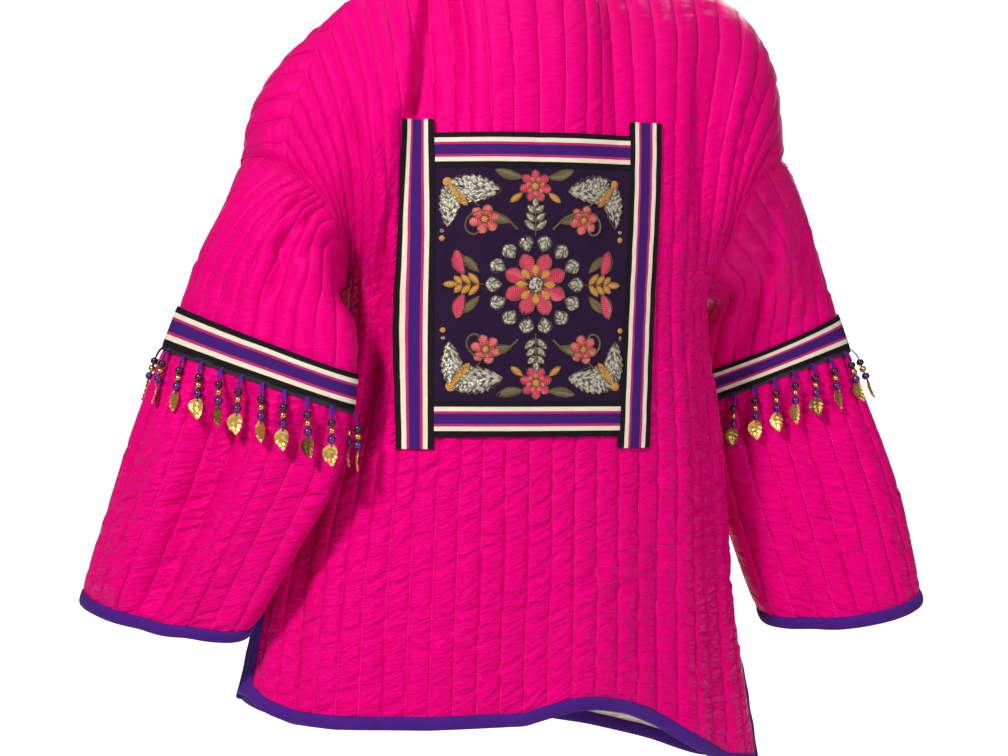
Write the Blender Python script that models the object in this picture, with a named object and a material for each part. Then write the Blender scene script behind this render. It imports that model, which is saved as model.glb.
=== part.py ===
"""A loose hip-length jacket of channel-quilted cloth, hollow and filled out as if worn.

Metres, +Z up. The back faces -Y. The origin is where the shoulders hold it, level with the neck's sides.
The cut is laid out in channels: k counts quilted channels outwards from the centre back or centre front,
and rows run down from the neck and shoulder seams to the hem. The garment is shaped in its own frame, with
the sides along X, and an empty turns it as it hangs.
"""

import math

import bmesh
import bpy
import numpy as np

# Cloth
CHANNEL = 0.0244
WALL = 0.003
PUFF = 0.0026
SEAM_GAP = 0.0003
SEAM_SHARE = 0.7
TURN_DEG = 15.0
SHARP_DEG = 14.0
MERGE = 0.00002
CURVE_STEPS = 90
BODY_MIDDLE_X = -0.01

# The cut, in channels across and rows down
NECK_K = 4.0
SHOULDER_K = 16.0
SIDE_K = 12.5
FRONT_EDGE_K = 1.5
UPPER_ROWS = 9
SEAM_K = (16.0, 15.5, 15.0, 15.0, 14.5, 14.5, 14.0, 13.5, 13.0, 12.5)
LOWER_W = (0.12, 0.24, 0.36, 0.48, 0.60, 0.72, 0.82, 0.91, 1.0)
ROWS = UPPER_ROWS + len(LOWER_W)
PIT_Z = -0.345
PIT_Y = -0.005
SECTION_POWER = 2.12

# Neck opening
NECK_BACK = (0.0, -0.062, -0.022)
NECK_FRONT = (0.034, 0.062, -0.088)

# Trim
BIND_WIDTH = 0.0125
BIND_GAP = 0.0007
BIND_LINES = ((0.04, 0.0006, 0.0034), (0.35, 0.0022, 0.0050), (1.0, 0.0010, 0.0040))
RIBBON_WIDTH = 0.0355
RIBBON_THICK = 0.0012
GROUND_THICK = 0.0010
LAY_GAP = 0.0006
LAID_UP = PUFF + 0.0009
LAID_GAP = 0.00045
RIBBON_SEEN = 0.98
SEARCH_COLUMNS = 20
PANEL_COLUMNS = 13
ROW_CLEAR = 0.2
COLUMN_CLEAR = 0.05

LEFT = "left"
RIGHT = "right"
BACK = "back"
FRONT = "front"

# Shoulder seam from the neck's side to the armhole: x, y, z
SHOULDER = {
    LEFT: ((-0.080, -0.010, 0.000), (-0.135, -0.022, -0.024), (-0.184, -0.031, -0.056),
           (-0.211, -0.034, -0.092), (-0.229, -0.036, -0.126), (-0.243, -0.039, -0.159),
           (-0.251, -0.042, -0.193), (-0.251, -0.047, -0.227)),
    RIGHT: ((0.080, -0.010, 0.000), (0.150, 0.000, -0.010), (0.224, 0.008, -0.028),
            (0.264, 0.012, -0.054), (0.289, 0.014, -0.092), (0.299, 0.016, -0.130),
            (0.303, 0.017, -0.170), (0.304, 0.017, -0.203)),
}

# How far each front stands out over the shoulder just past the seam, by channel
RIDGE = {
    LEFT: ((4.0, 7.0, 9.0, 11.0, 13.0, 15.0, 16.0), (0.0, 0.006, 0.014, 0.019, 0.018, 0.008, 0.0)),
    RIGHT: ((4.0, 7.0, 10.0, 13.0, 16.0), (0.0, 0.003, 0.006, 0.005, 0.0)),
}
RIDGE_V = 0.36
FRONT_RISE = 0.030
CHEST_LIFT = 0.4

# Armhole seam from the shoulder seam's end to the pit: x, y, z
ARMHOLE = {
    (LEFT, BACK): ((-0.251, -0.047, -0.227), (-0.236, -0.062, -0.239), (-0.219, -0.075, -0.258),
                   (-0.203, -0.077, -0.290), (-0.191, -0.048, -0.324), (-0.178, PIT_Y, PIT_Z)),
    (LEFT, FRONT): ((-0.251, -0.047, -0.227), (-0.271, -0.022, -0.214), (-0.283, 0.014, -0.216),
                    (-0.277, 0.050, -0.240), (-0.248, 0.070, -0.278), (-0.207, 0.044, -0.320),
                    (-0.178, PIT_Y, PIT_Z)),
    (RIGHT, BACK): ((0.304, 0.017, -0.203), (0.286, -0.026, -0.206), (0.258, -0.050, -0.220),
                    (0.229, -0.062, -0.258), (0.212, -0.044, -0.312), (0.198, PIT_Y, PIT_Z)),
    (RIGHT, FRONT): ((0.304, 0.017, -0.203), (0.300, 0.052, -0.226), (0.280, 0.076, -0.262),
                     (0.242, 0.070, -0.300), (0.218, 0.040, -0.326), (0.198, PIT_Y, PIT_Z)),
}

# Centre lines from the neck to the pit's level: x, y, z
CENTRE_BACK = (NECK_BACK, (-0.001, -0.092, -0.070), (-0.004, -0.112, -0.140),
               (-0.007, -0.119, -0.230), (-0.011, -0.118, PIT_Z))
CENTRE_FRONT_Y = ((0.062, -0.088), (0.090, -0.134), (0.106, -0.220), (0.112, PIT_Z))

# The body below the pits: w from pit to hem, centre x, left and right side x, back and front y,
# and how far the vents stand open on each side of the side line
BODY = {
    "w": (0.00, 0.10, 0.20, 0.33, 0.50, 0.66, 0.72, 0.82, 1.00),
    "centre": (-0.011, -0.013, -0.015, -0.017, -0.019, -0.021, -0.022, -0.024, -0.026),
    "left": (-0.178, -0.178, -0.187, -0.206, -0.228, -0.250, -0.258, -0.271, -0.287),
    "right": (0.198, 0.203, 0.214, 0.225, 0.229, 0.232, 0.236, 0.246, 0.260),
    "back": (-0.118, -0.118, -0.119, -0.120, -0.122, -0.123, -0.124, -0.125, -0.127),
    "front": (0.112, 0.115, 0.118, 0.121, 0.124, 0.127, 0.128, 0.130, 0.132),
    "vent": (0.0, 0.0, 0.0, 0.0, 0.0, 0.0, 0.0, 0.016, 0.022),
}
VENT_ROW = UPPER_ROWS + 6
VENT_START = 0.25
VENT_TAPER = 0.2

# Finished hem: channel from the centre, height
HEM = {
    (LEFT, BACK): ((0.0, 4.0, 8.0, 10.0, 11.3, 12.5), (-0.786, -0.788, -0.787, -0.783, -0.774, -0.760)),
    (RIGHT, BACK): ((0.0, 1.2, 2.2, 3.2, 4.7, 6.2, 7.8, 10.0, 12.5),
                    (-0.786, -0.778, -0.772, -0.772, -0.779, -0.794, -0.818, -0.842, -0.852)),
    (LEFT, FRONT): ((1.5, 6.0, 10.0, 12.5), (-0.802, -0.800, -0.788, -0.766)),
    (RIGHT, FRONT): ((1.5, 3.1, 5.7, 8.3, 10.5, 12.5), (-0.806, -0.812, -0.826, -0.840, -0.850, -0.852)),
}

# Large folds: where they start and end in channels and rows, depth inwards, half width in channels
FOLDS = {
    (LEFT, BACK): ((4.0, 8.2, 0.5, 9.5, 0.015, 1.5), (8.0, 8.6, 8.0, 14.5, 0.011, 1.3),
                   (9.3, 11.6, 1.0, 7.0, 0.006, 1.0),
                   (10.6, 10.2, 10.0, 18.5, 0.006, 0.8), (5.2, 5.6, 12.0, 18.5, 0.004, 1.0)),
    (RIGHT, BACK): ((8.6, 9.2, 0.5, 9.5, 0.012, 1.2), (9.2, 9.6, 8.5, 18.5, 0.008, 1.1),
                    (11.6, 11.2, 1.0, 7.0, 0.006, 1.0), (2.4, 2.8, 14.0, 18.9, -0.007, 1.5),
                    (5.8, 6.4, 12.5, 18.9, 0.005, 1.0)),
    (LEFT, FRONT): ((9.0, 9.4, 0.5, 9.0, 0.013, 1.3), (9.4, 9.0, 8.5, 18.5, 0.009, 1.1),
                    (5.0, 5.6, 11.0, 18.5, 0.006, 1.0)),
    (RIGHT, FRONT): ((9.4, 9.2, 0.5, 9.0, 0.012, 1.3), (9.2, 9.8, 8.5, 18.5, 0.008, 1.1),
                     (4.6, 4.0, 11.5, 18.5, 0.006, 1.0)),
}

# How a fold fades in and out along its length
FOLD_LATE = 1.15
FOLD_POWER = 0.8
FOLD_OPEN = 2.0

# Sleeves: distance down the arm 0 to 1, centre, vector to the outer edge, half thickness,
# how far the back edge hangs below, and where the shoulder line meets the tube, in degrees
SLEEVE_F = (0.0, 0.20, 0.42, 0.62, 0.78, 1.0)
SLEEVE = {
    LEFT: {"centre": (None, (-0.256, -0.050, -0.312), (-0.272, -0.054, -0.398), (-0.299, -0.050, -0.496),
                      (-0.325, -0.038, -0.566), (-0.365, 0.000, -0.671)),
           "outer": (None, (-0.062, 0.050, 0.030), (-0.075, 0.060, 0.034), (-0.091, 0.056, 0.026),
                     (-0.088, 0.056, 0.022), (-0.076, 0.054, 0.018)),
           "thick": (None, 0.050, 0.040, 0.034, 0.034, 0.042),
           "sag": (None, 0.0, 0.0, 0.0, 0.0, 0.006),
           "phase": 34.0},
    RIGHT: {"centre": (None, (0.284, 0.038, -0.308), (0.302, 0.056, -0.398), (0.322, 0.044, -0.494),
                       (0.343, 0.030, -0.574), (0.373, 0.024, -0.680)),
            "outer": (None, (0.060, 0.016, 0.026), (0.076, -0.004, 0.032), (0.087, -0.010, 0.024),
                      (0.095, -0.012, 0.016), (0.089, -0.012, 0.010)),
            "thick": (None, 0.056, 0.042, 0.040, 0.042, 0.048),
            "sag": (None, 0.0, 0.0, 0.0, 0.006, 0.016),
            "phase": 4.0},
}
SLEEVE_LEVELS = (0.0, 0.07, 0.14, 0.22, 0.31, 0.40, 0.50, 0.60, 0.70, 0.80, 0.90, 1.0)
SLEEVE_BLEND = 0.36

# Sleeve folds: column at the top and bottom, level at the top and bottom, depth inwards, half width
SLEEVE_FOLDS = {
    LEFT: ((5.0, 12.0, 0.02, 0.45, 0.009, 1.6), (11.0, 8.0, 0.05, 0.40, 0.006, 1.3),
           (14.0, 12.5, 0.50, 1.05, 0.007, 1.8), (5.5, 7.0, 0.55, 1.05, 0.004, 1.8),
           (26.0, 22.0, 0.05, 0.50, 0.009, 1.8), (28.0, 27.0, 0.50, 1.05, 0.006, 1.8)),
    RIGHT: ((9.0, 14.0, 0.04, 0.42, 0.009, 1.6), (6.0, 4.5, 0.05, 0.38, 0.006, 1.4),
            (12.0, 13.0, 0.52, 1.05, 0.006, 1.8), (25.0, 22.0, 0.05, 0.45, 0.009, 1.8),
            (29.0, 28.0, 0.50, 1.05, 0.006, 1.8)),
}

# Where sleeve and body meet at the armhole and the pit
ARM_SHARE = 0.25
ARM_FOLD_WEIGHT = 1.5
ARM_GAPS = 2.0
PIT_ROWS = 2.2
PIT_RINGS = 2.0
PIT_HALF_CHANNELS = 4.0
PIT_THIN = 0.62
PIT_BULGE = (0.0, 0.005, 0.006, 0.004)
PIT_COLUMNS = 6.5
SLEEVE_COLUMNS = 4 * UPPER_ROWS
BAND_TOP = 0.425
BAND_INSET = 0.004

# Picture panel: its outer edges across at its top and foot, and its heights, seen from behind
PANEL_LEFT = (-0.141, -0.148)
PANEL_RIGHT = (0.128, 0.111)
PANEL_Z = {"top_end": -0.178, "top": -0.192, "foot": -0.497, "foot_end": -0.509}

# Beaded drops: distance below the root, half width, half depth
DROP_PROFILE = ((0.0125, 0.0012, 0.0012), (0.0168, 0.0040, 0.0040), (0.0211, 0.0015, 0.0015),
                (0.0250, 0.0036, 0.0036), (0.0289, 0.0015, 0.0015), (0.0332, 0.0040, 0.0040),
                (0.0375, 0.0010, 0.0010), (0.0455, 0.0068, 0.0010), (0.0590, 0.0012, 0.0006))
STRIP_HEIGHT = 0.0030
STRIP_THICK = 0.0035
DROP_CLEAR = 0.0060
DROP_LONG = 0.0600
DROP_EVERY = 2
DROP_FOOT = 0.09
DROP_OUT = 0.0008
DROP_LIFT = (0.014, 0.55)
LEAF_FROM = 0.038
LEAF_TURNS = (-32.0, 0.0, 32.0, -16.0, 16.0)
STRIP_BELOW = 0.0015
STRIP_SPAN = 0.0065

MAGENTA = (0.83, 0.0, 0.16)
PURPLE = (0.06, 0.012, 0.22)
DARK_PURPLE = (0.022, 0.008, 0.05)
STRIPE = (0.05, 0.014, 0.14)
GOLD = (0.45, 0.28, 0.09)


def clear_objects():
    """Remove whatever the file holds."""
    for item in list(bpy.data.objects):
        bpy.data.objects.remove(item, do_unlink=True)


def material(name, colour, roughness, metallic=0.0):
    """A plain Principled material."""
    made = bpy.data.materials.new(name)
    made.use_nodes = True
    shader = made.node_tree.nodes["Principled BSDF"]
    shader.inputs["Base Color"].default_value = (*colour, 1.0)
    shader.inputs["Roughness"].default_value = roughness
    shader.inputs["Metallic"].default_value = metallic
    return made


def unit(vectors):
    """Vectors scaled to length one."""
    vectors = np.asarray(vectors, dtype=float)
    size = np.linalg.norm(vectors, axis=-1, keepdims=True)
    return vectors / np.maximum(size, 1e-12)


def ease(value):
    """Smooth step from 0 to 1."""
    value = np.clip(value, 0.0, 1.0)
    return value * value * (3.0 - 2.0 * value)


def smooth_through(points, steps=24):
    """Points on a smooth curve through the given ones."""
    points = np.asarray(points, dtype=float)
    ends = np.vstack([2 * points[0] - points[1], points, 2 * points[-1] - points[-2]])
    made = []
    for i in range(1, len(ends) - 2):
        before, start, end, after = ends[i - 1:i + 3]
        t = np.linspace(0.0, 1.0, steps, endpoint=False)[:, None]
        made.append(0.5 * (2 * start + (end - before) * t
                           + (2 * before - 5 * start + 4 * end - after) * t ** 2
                           + (3 * start - before - 3 * end + after) * t ** 3))
    made.append(ends[-2][None, :])
    return np.vstack(made)


def along(curve, fractions):
    """Points at fractions of a polyline's length."""
    steps = np.linalg.norm(np.diff(curve, axis=0), axis=1)
    run = np.concatenate([[0.0], np.cumsum(steps)])
    wanted = np.asarray(fractions, dtype=float) * run[-1]
    return np.stack([np.interp(wanted, run, curve[:, i]) for i in range(curve.shape[1])], axis=-1)


def seam_k(row):
    """The channel at which a body row ends: on the armhole, then on the side seam."""
    return SEAM_K[min(row, UPPER_ROWS)]


def top_point(side, face, k):
    """A point on the neck edge or the shoulder seam."""
    sign = -1.0 if side == LEFT else 1.0
    if k >= NECK_K:
        fraction = (k - NECK_K) / (SHOULDER_K - NECK_K)
        return along(smooth_through(SHOULDER[side]), [fraction])[0]
    neck_side = np.array(SHOULDER[side][0])
    first = 0.0 if face == BACK else FRONT_EDGE_K
    angle = (k - first) / (NECK_K - first) * math.pi / 2
    start = np.array(NECK_BACK if face == BACK else NECK_FRONT)
    start[0] *= sign
    across = start[0] + (neck_side[0] - start[0]) * math.sin(angle)
    deep = neck_side[1] + (start[1] - neck_side[1]) * math.cos(angle)
    high = neck_side[2] + (start[2] - neck_side[2]) * math.cos(angle)
    return np.array([across, deep, high])


def body(name, w):
    """A size of the body's sections at w."""
    return float(np.interp(w, BODY["w"], BODY[name]))


def section_curve(side, face, w):
    """A quarter of the body's plan outline, from the centre to the side."""
    centre = body("centre", w)
    half_x = body(side, w) - centre
    half_y = body(face, w) - PIT_Y
    angle = np.linspace(0.0, math.pi / 2, CURVE_STEPS)
    power = 2.0 / SECTION_POWER
    x = centre + half_x * np.sin(angle) ** power
    y = PIT_Y + half_y * np.cos(angle) ** power
    return np.stack([x, y], axis=-1)


def section_point(side, face, w, k):
    """A point of a body section at a channel, at its height."""
    curve = section_curve(side, face, w)
    length = float(np.linalg.norm(np.diff(curve, axis=0), axis=1).sum())
    reach = length - body("vent", w)
    spare = reach - CHANNEL * SIDE_K
    distance = CHANNEL * k + spare * (k / SIDE_K) ** 2
    x, y = along(curve, [distance / length])[0]
    hem = np.interp(k, *HEM[side, face]) + BIND_WIDTH
    return np.array([x, y, PIT_Z + (hem - PIT_Z) * w])


def centre_point(side, face, v):
    """A point on the centre back, or on a front's free edge, above the pits' level."""
    if face == BACK:
        return along(smooth_through(CENTRE_BACK), [v])[0]
    start = top_point(side, face, FRONT_EDGE_K)
    end = section_point(side, face, 0.0, FRONT_EDGE_K)
    deep, high = along(smooth_through([(y, z) for y, z in CENTRE_FRONT_Y]), [v])[0]
    return np.array([start[0] + (end[0] - start[0]) * v, deep, high])


def over_shoulder(side, k, u, v):
    """How far a front stands out over the chest and past the shoulder seam."""
    sign = -1.0 if side == LEFT else 1.0
    chest = FRONT_RISE * math.sin(math.pi * v) * math.sin(math.pi * u)
    made = np.array([0.0, chest, CHEST_LIFT * chest])
    if k > NECK_K and v < RIDGE_V:
        before = top_point(side, FRONT, max(k - 0.5, NECK_K))
        after = top_point(side, FRONT, min(k + 0.5, SHOULDER_K))
        run = unit(after - before)
        out = unit(np.array([-run[2] * sign, 0.0, run[0] * sign]))
        made += out * np.interp(k, *RIDGE[side]) * math.sin(math.pi * v / RIDGE_V)
    return made


def half_panel(side, face):
    """Seam-surface points of half a back or of one front: rows by half channels."""
    first = 0.0 if face == BACK else FRONT_EDGE_K
    columns = np.arange(first, SHOULDER_K + 0.01, 0.5)
    points = np.zeros((ROWS + 1, len(columns), 3))
    corner_top = top_point(side, face, first)
    corner_end = top_point(side, face, SHOULDER_K)
    corner_low = section_point(side, face, 0.0, first)
    corner_pit = section_point(side, face, 0.0, SIDE_K)
    arm = smooth_through(ARMHOLE[side, face])
    for row in range(UPPER_ROWS + 1):
        v = row / UPPER_ROWS
        last = seam_k(row)
        middle = centre_point(side, face, v)
        seam = along(arm, [v])[0]
        for index, k in enumerate(columns):
            here = min(k, last)
            u = (here - first) / (last - first)
            top = top_point(side, face, here + (SHOULDER_K - last) * u * u)
            low = section_point(side, face, 0.0, here - (last - SIDE_K) * u * u)
            blend = (1 - v) * top + v * low + (1 - u) * middle + u * seam
            corners = ((1 - v) * ((1 - u) * corner_top + u * corner_end)
                       + v * ((1 - u) * corner_low + u * corner_pit))
            point = blend - corners
            if face == FRONT:
                point += over_shoulder(side, here + (SHOULDER_K - last) * u * u, u, v)
            points[row, index] = point
    for step, w in enumerate(LOWER_W):
        for index, k in enumerate(columns):
            points[UPPER_ROWS + 1 + step, index] = section_point(side, face, w, min(k, SIDE_K))
    return columns, points


def last_columns(columns):
    """The index of the last real column in each row."""
    return [int(np.argmin(np.abs(columns - seam_k(row)))) for row in range(ROWS + 1)]


def relax(points, last, first_fixed, times=3):
    """Even out the inside of a panel, leaving its edges where they are."""
    for _ in range(times):
        moved = points.copy()
        for row in range(1, ROWS):
            stop = min(last[row], last[row + 1])
            start = 1 if first_fixed else 0
            for index in range(start, stop):
                if index == 0:
                    around = (points[row - 1, 0] + points[row + 1, 0]) / 2
                    moved[row, 0] = points[row, 0] + 0.5 * (around - points[row, 0])
                    continue
                around = (points[row - 1, index] + points[row + 1, index] + points[row, index - 1]
                          + points[row, index + 1]) / 4
                moved[row, index] = points[row, index] + 0.5 * (around - points[row, index])
        points = moved
    return points


def panel_normals(points, last, outward):
    """Outward directions over a panel whose rows end at their own last column."""
    made = np.zeros_like(points)
    for row in range(points.shape[0]):
        up = max(row - 1, 0)
        down = min(row + 1, points.shape[0] - 1)
        for index in range(points.shape[1]):
            here = min(index, last[row])
            before = max(here - 1, 0)
            after = min(here + 1, last[row])
            across = points[row, after] - points[row, before]
            along_rows = points[down, here] - points[up, here]
            made[row, index] = np.cross(across, along_rows)
    made = unit(made)
    if outward(points, made) < 0:
        made = -made
    return made


def even_ways(normals, last, times):
    """Directions eased towards their neighbours' within each row's real columns."""
    rows = normals.shape[0]
    for _ in range(times):
        made = normals.copy()
        for row in range(rows):
            for index in range(last[row] + 1):
                total = 2.0 * normals[row, index]
                total = total + normals[row, max(index - 1, 0)] + normals[row, min(index + 1, last[row])]
                for other in (max(row - 1, 0), min(row + 1, rows - 1)):
                    total = total + normals[other, min(index, last[other])]
                made[row, index] = total
            made[row, last[row] + 1:] = made[row, last[row]]
        normals = unit(made)
    return normals


def facing_out(points, normals):
    """Positive when a body panel's directions point away from the body's middle."""
    middle = points.reshape(-1, 3).mean(axis=0)
    return float((normals * (points - np.array([BODY_MIDDLE_X, 0.0, middle[2]]))).sum())


def add_folds(points, normals, columns, last, folds):
    """Push the large folds into a panel."""
    for k_top, k_low, row_top, row_low, depth, half in folds:
        for row in range(1, ROWS + 1):
            share = (row - row_top) / (row_low - row_top)
            if share <= 0.0 or share >= 1.0:
                continue
            at = k_top + (k_low - k_top) * share
            fade = math.sin(math.pi * min(share * FOLD_LATE, 1.0)) ** FOLD_POWER
            if row_low > ROWS:
                fade = math.sin(math.pi / 2 * min(share * FOLD_OPEN, 1.0))
            for index in range(last[row] - 1):
                reach = (columns[index] - at) / half
                amount = depth * fade * math.exp(-reach * reach)
                points[row, index] -= normals[row, index] * amount


def build_wall(name, points, normals, outer, inner, surface, drop_crests=False):
    """A closed wall through a grid of points: outer and inner are offsets along the normals."""
    rows, columns = points.shape[:2]
    outer = np.broadcast_to(outer, (rows, columns))
    inner = np.broadcast_to(inner, (rows, columns))
    mesh = bmesh.new()
    bmesh.ops.create_grid(mesh, x_segments=columns - 1, y_segments=rows - 1, size=0.5)
    row_of = mesh.verts.layers.int.new("row")
    column_of = mesh.verts.layers.int.new("column")
    for vert in mesh.verts:
        row = int(round((0.5 - vert.co.y) * (rows - 1)))
        column = int(round((vert.co.x + 0.5) * (columns - 1)))
        vert[row_of] = row
        vert[column_of] = column
        vert.co = points[row, column]
    bmesh.ops.remove_doubles(mesh, verts=mesh.verts[:], dist=MERGE)
    made = bmesh.ops.extrude_face_region(mesh, geom=mesh.faces[:])
    new = {item for item in made["geom"] if isinstance(item, bmesh.types.BMVert)}
    for vert in mesh.verts:
        row = vert[row_of]
        column = vert[column_of]
        offset = outer[row, column] if vert in new else -inner[row, column]
        vert.co = points[row, column] + normals[row, column] * offset
    if drop_crests:
        flat = [edge for edge in mesh.edges
                if edge.verts[0] not in new and edge.verts[1] not in new
                and edge.verts[0][column_of] % 2 == 1
                and edge.verts[0][column_of] == edge.verts[1][column_of]]
        bmesh.ops.dissolve_edges(mesh, edges=flat, use_verts=True, use_face_split=False)
    bmesh.ops.recalc_face_normals(mesh, faces=mesh.faces[:])
    data = bpy.data.meshes.new(name)
    mesh.to_mesh(data)
    mesh.free()
    data.materials.append(surface)
    data.shade_smooth()
    data.set_sharp_from_angle(angle=math.radians(SHARP_DEG))
    item = bpy.data.objects.new(name, data)
    bpy.context.collection.objects.link(item)
    item.parent = bpy.data.objects["hang"]
    return item


def pull(points, edge, inside, amount):
    """Draw an edge back along the cloth to leave the seam's gap."""
    points[edge] += unit(points[inside] - points[edge]) * amount


def puffs(columns_k, rows, last=None):
    """Heights of the quilting: nothing on a stitch line or an edge, most between two lines."""
    crest = np.where(np.abs(np.mod(columns_k, 1.0) - 0.5) < 0.01, 1.0, 0.0)
    made = np.tile(crest, (rows, 1)) * PUFF
    made[0] = 0.0
    made[-1] = 0.0
    if last is not None:
        for row, stop in enumerate(last):
            made[row, stop:] = 0.0
    return made


def body_panels():
    """Points and directions of the four quarter panels, with shared seams."""
    quarters = {}
    for side in (LEFT, RIGHT):
        for face in (BACK, FRONT):
            columns, points = half_panel(side, face)
            last = last_columns(columns)
            points = relax(points, last, first_fixed=face == FRONT)
            normals = panel_normals(points, last, facing_out)
            add_folds(points, normals, columns, last, FOLDS[side, face])
            normals = even_ways(panel_normals(points, last, facing_out), last, 2)
            quarters[side, face] = {"k": columns, "points": points, "normals": normals, "last": last}
    for side in (LEFT, RIGHT):
        share_normals(quarters[side, BACK], quarters[side, FRONT])
    return quarters


def share_normals(back, front):
    """Give the back and front the same direction along the shoulder and side seams."""
    start = int(NECK_K * 2)
    offset = int(FRONT_EDGE_K * 2)
    for index in range(start, len(back["k"])):
        both = unit(back["normals"][0, index] + front["normals"][0, index - offset])
        back["normals"][0, index] = both
        front["normals"][0, index - offset] = both
    for row in range(UPPER_ROWS, VENT_ROW + 1):
        both = back["normals"][row, back["last"][row]] + front["normals"][row, front["last"][row]]
        both = unit(both)
        back["normals"][row, back["last"][row]:] = both
        front["normals"][row, front["last"][row]:] = both


def armhole_ring(quarters, side):
    """The armhole seam as one ring: down the back to the pit and up the front."""
    back = quarters[side, BACK]
    front = quarters[side, FRONT]
    seam = [back["points"][row, back["last"][row]] for row in range(UPPER_ROWS + 1)]
    seam += [front["points"][row, front["last"][row]] for row in range(UPPER_ROWS - 1, -1, -1)]
    ring = []
    for start, end in zip(seam[:-1], seam[1:]):
        ring += [start, (start + end) / 2]
    return np.array(ring)


def armhole_out(quarters, side):
    """The body's outward directions round the armhole, in the order of its ring."""
    back = quarters[side, BACK]
    front = quarters[side, FRONT]
    seam = [back["normals"][row, back["last"][row]] for row in range(UPPER_ROWS + 1)]
    seam += [front["normals"][row, front["last"][row]] for row in range(UPPER_ROWS - 1, -1, -1)]
    ring = []
    for start, end in zip(seam[:-1], seam[1:]):
        ring += [start, unit(start + end)]
    return np.array(ring)


def ring_fractions(count, start_deg, outer, thick):
    """Angles round a flat tube, evenly spaced by length from the shoulder line to the pit and back."""
    half = count // 2
    angles = []
    for begin, end in ((start_deg, 180.0), (180.0, 360.0 + start_deg)):
        dense = np.radians(np.linspace(begin, end, CURVE_STEPS + 30))
        curve = np.stack([dense, outer * np.cos(dense), thick * np.sin(dense)], axis=-1)
        steps = np.linalg.norm(np.diff(curve[:, 1:], axis=0), axis=1)
        run = np.concatenate([[0.0], np.cumsum(steps)])
        wanted = np.linspace(0.0, run[-1], half, endpoint=False)
        angles.append(np.interp(wanted, run, dense))
    return np.concatenate(angles)


def sleeve_grid(quarters, side):
    """Points and directions of a sleeve: rings down the arm by columns round it."""
    sizes = SLEEVE[side]
    ring = armhole_ring(quarters, side)
    middle = ring.mean(axis=0)
    centres = np.array([middle] + [np.array(c) for c in sizes["centre"][1:]])
    outers = np.array([np.array(sizes["outer"][1])] + [np.array(o) for o in sizes["outer"][1:]])
    thicks = np.array([sizes["thick"][1]] + list(sizes["thick"][1:]))
    sags = np.array([0.0] + list(sizes["sag"][1:]))
    levels = np.array(SLEEVE_LEVELS)
    spread = smooth_through(np.column_stack([np.array(SLEEVE_F), centres, outers, thicks, sags]), 12)
    rows = np.stack([np.interp(levels, spread[:, 0], spread[:, i]) for i in range(1, 9)], axis=-1)
    centre_rows = rows[:, 0:3]
    tangent = unit(np.gradient(centre_rows, axis=0))
    grid = np.zeros((len(levels), SLEEVE_COLUMNS, 3))
    for index, level in enumerate(levels):
        outer = rows[index, 3:6]
        thick = rows[index, 6]
        behind = unit(np.cross(outer, tangent[index]))
        if behind[1] > 0:
            behind = -behind
        angles = ring_fractions(SLEEVE_COLUMNS, sizes["phase"], float(np.linalg.norm(outer)), thick)
        behind = behind * thick - np.array([0.0, 0.0, rows[index, 7]])
        shape = centre_rows[index] + np.cos(angles)[:, None] * outer + np.sin(angles)[:, None] * behind
        moved = ring + (centre_rows[index] - middle)
        weight = ease(level / SLEEVE_BLEND)
        grid[index] = (1 - weight) * moved + weight * shape
    grid = sleeve_folds(grid, side)
    beside = armhole_out(quarters, side)
    near = np.exp(-((np.arange(SLEEVE_COLUMNS) - SLEEVE_COLUMNS / 2) / PIT_COLUMNS) ** 2)
    for index, bulge in enumerate(PIT_BULGE):
        grid[index] += beside * (near * bulge)[:, None]
    across = np.roll(grid, -1, axis=1) - np.roll(grid, 1, axis=1)
    down = np.gradient(grid, axis=0)
    normals = unit(np.cross(across, down))
    if float((normals * (grid - grid.mean(axis=1, keepdims=True))).sum()) < 0:
        normals = -normals
    return levels, grid, normals


def sleeve_folds(grid, side):
    """Push the large folds into a sleeve."""
    middle = grid.mean(axis=1, keepdims=True)
    away = unit(grid - middle)
    count = grid.shape[1]
    made = grid.copy()
    for col_top, col_low, top, low, depth, half in SLEEVE_FOLDS[side]:
        for row, level in enumerate(SLEEVE_LEVELS):
            share = (level - top) / (low - top)
            if share <= 0.0 or share >= 1.0:
                continue
            at = col_top + (col_low - col_top) * share
            fade = math.sin(math.pi * share) if low <= 1.0 else math.sin(math.pi / 2 * share)
            apart = np.abs(np.arange(count) - at)
            apart = np.minimum(apart, count - apart)
            made[row] -= away[row] * (depth * fade * np.exp(-(apart / half) ** 2))[:, None]
    return made


def join_armhole(quarters, side, grid, normals):
    """Share directions along the armhole: the mean where it lies flat, nearly each its own in a sharp fold."""
    back = quarters[side, BACK]
    front = quarters[side, FRONT]
    for row in range(UPPER_ROWS + 1):
        for face, column in ((back, 2 * row), (front, SLEEVE_COLUMNS - 2 * row)):
            column = column % SLEEVE_COLUMNS
            last = face["last"][row]
            here = face["points"][row, last]
            body_out = face["normals"][row, last].copy()
            arm_out = normals[0, column].copy()
            if row == 0:
                body_out = back["normals"][0, back["last"][0]].copy()
            fold = float(unit(grid[2, column] - here).dot(body_out)
                         + unit(face["points"][row, last - 2] - here).dot(arm_out))
            share = min(max(1.0 - ARM_FOLD_WEIGHT * fold, ARM_SHARE), 1.0)
            face["normals"][row, last:] = unit(body_out + arm_out * share)
            normals[0, column] = unit(arm_out + body_out * share)
    for column in range(1, SLEEVE_COLUMNS, 2):
        after = (column + 1) % SLEEVE_COLUMNS
        normals[0, column] = unit(normals[0, column - 1] + normals[0, after])


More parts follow.
